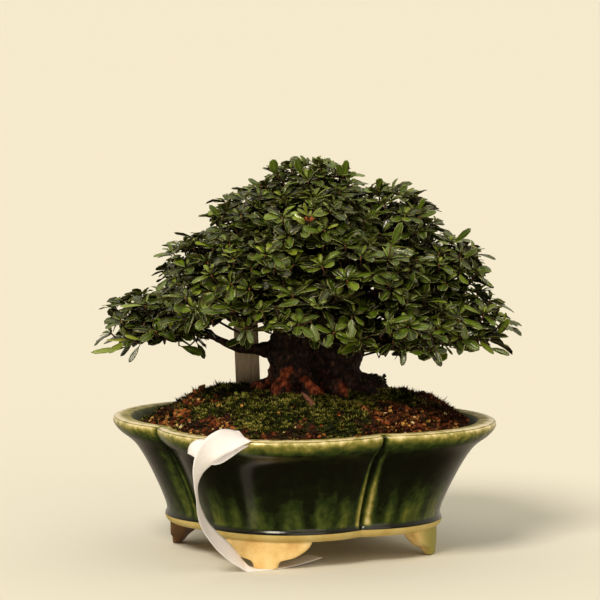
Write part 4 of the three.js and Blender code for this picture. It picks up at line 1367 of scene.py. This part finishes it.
def paper_strip(name, line, steps, finish, *nodes):
    """A length of the show strip along a line: as thick as its paper, and slightly cupped where it hangs."""
    columns = 9
    middles, acrosses = zip(*line)
    spine = np.array([even_curve(middles, i / steps) for i in range(steps + 1)])
    side = np.array([even_curve(acrosses, i / steps) for i in range(steps + 1)])
    along = unit(np.gradient(spine, axis=0))
    side = unit(side - along * np.sum(side * along, axis=1, keepdims=True))
    face = np.cross(along, side)
    share = np.linspace(-1, 1, columns)
    height = spine[:, 2:]
    loose = smoothstep(6, 30, height) * (1 - 0.8 * smoothstep(82, 72, height) * smoothstep(38, 48, height))
    ripple = np.sin(share * 2 + np.arange(steps + 1)[:, None] * 0.15)
    cup = 0.7 * loose * share**2 + 0.25 * loose * ripple
    out = (share * STRIP_WIDTH / 2)[:, None]
    middle = spine[:, None] + side[:, None] * out + face[:, None] * cup[..., None]
    over, under = middle + face[:, None] * PAPER / 2, middle - face[:, None] * PAPER / 2
    rows = np.concatenate([over, under[:, ::-1]], axis=1)
    lowest = rows[:, :, 2].min(axis=1)
    rows[:, :, 2] += np.maximum(0.02 - lowest, 0)[:, None]
    ring = 2 * columns
    ends = []
    for row in (0, steps):
        for c in range(columns - 1):
            quad = [row * ring + c, row * ring + c + 1, row * ring + ring - 2 - c, row * ring + ring - 1 - c]
            ends.append(quad if row else quad[::-1])
    faces = [grid(steps + 1, ring), np.array(ends)]
    keep(build(name, rows.reshape(-1, 3), faces, [finish]), "paper", *nodes)


# The studio.
def studio():
    """A seamless cream paper floor, lamps in front, a bright wall behind and overhead, and a dark room."""
    sides, reach, height = 96, 60000, -0.05
    turn = np.arange(sides) / sides * 2 * math.pi
    rim = np.stack([reach * np.cos(turn), reach * np.sin(turn), 0 * turn + height], -1)
    points = np.vstack([rim, [0, 0, height]])
    floor = build("floor", points, [fan(sides, np.arange(sides))], [cream_paper_floor()])
    floor.visible_glossy = False  # the shop floor that the glaze and the leaves mirror is dark
    world = bpy.data.worlds.new("studio_air")
    bpy.context.scene.world = world
    world.use_nodes = True
    air = world.node_tree
    generated = add(air, "ShaderNodeTexCoord").outputs["Generated"]
    way = add(air, "ShaderNodeSeparateXYZ", Vector=generated).outputs
    right, left = calculate(air, "MULTIPLY", way["X"], 0.36), calculate(air, "MULTIPLY", way["X"], -0.24)
    behind = calculate(air, "MAXIMUM", right, left)
    for axis, share in (("Y", 0.6), ("Z", 0.8)):
        behind = calculate(air, "ADD", behind, calculate(air, "MULTIPLY", way[axis], share))
    room = ramp(
        air, ranged(air, behind, -1, 1),
        [(0.0, "#191310"), (0.38, "#2c241c"), (0.5, "#51463a"), (0.62, "#a3957e"), (0.82, "#efe4cc"),
         (1.0, "#fff6e4")],
    )
    sky = air.nodes["Background"]
    air.links.new(room, sky.inputs["Color"])
    sky.inputs["Strength"].default_value = 0.76
    for name, power, bearing, height, softness, colour in (
        ("key_light", 2.35, -24, 44, 20, "#fff3e0"),
        ("fill_light", 0.85, 24, 19, 50, "#fff0dc"),
    ):
        lamp = bpy.data.lights.new(name, "SUN")
        lamp.energy = power
        lamp.angle = math.radians(softness)
        lamp.color = paint(colour)[:3]
        light = bpy.data.objects.new(name, lamp)
        light.rotation_euler = (math.radians(90 - height), 0, math.radians(bearing))
        bpy.context.scene.collection.objects.link(light)


def camera():
    """A long lens, at the place and angle that the photograph was taken from."""
    eye = bpy.data.objects.new("camera", bpy.data.cameras.new("camera"))
    tilt = math.radians(ELEVATION)
    stand = np.array(AIM) + DISTANCE * np.array([0, -math.cos(tilt), math.sin(tilt)])
    eye.location = place(stand)
    eye.rotation_euler = (math.pi / 2 - tilt, 0, 0)
    eye.data.sensor_width = 36
    eye.data.lens = LENS
    eye.data.clip_end = 200
    bpy.context.scene.collection.objects.link(eye)
    bpy.context.scene.camera = eye


bpy.context.scene.view_settings.view_transform = "Standard"
camera()
studio()
glaze, clay = copper_glaze(), buff_stoneware()
pot_body(glaze, clay)
pot_feet(clay)
soil_mound(moist_soil())
clay_grains(clay_grain())
moss(living_moss())
wood(azalea_bark())
face, back, stem = leaf_face(), leaf_back(), young_twig()
hubs = foliage(face, back, stem)
chosen_leaves(face, back, stem, hubs)
resting_bud(bud_scale())
sprigs(stem, face, back)
litter(face, back, dead_leaf())
name_stake(weathered_wood())
paper = soft_paper()
paper_strip("paper_show_strip", STRIP_LINE, 130, paper, "show_strip")
paper_strip("tucked_end", TUCKED_END, 40, paper)
screens = moulded_mesh()
for name in ("drain_mesh_1", "drain_mesh_2"):
    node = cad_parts[name]
    for slot in node.material_slots:
        slot.material = screens
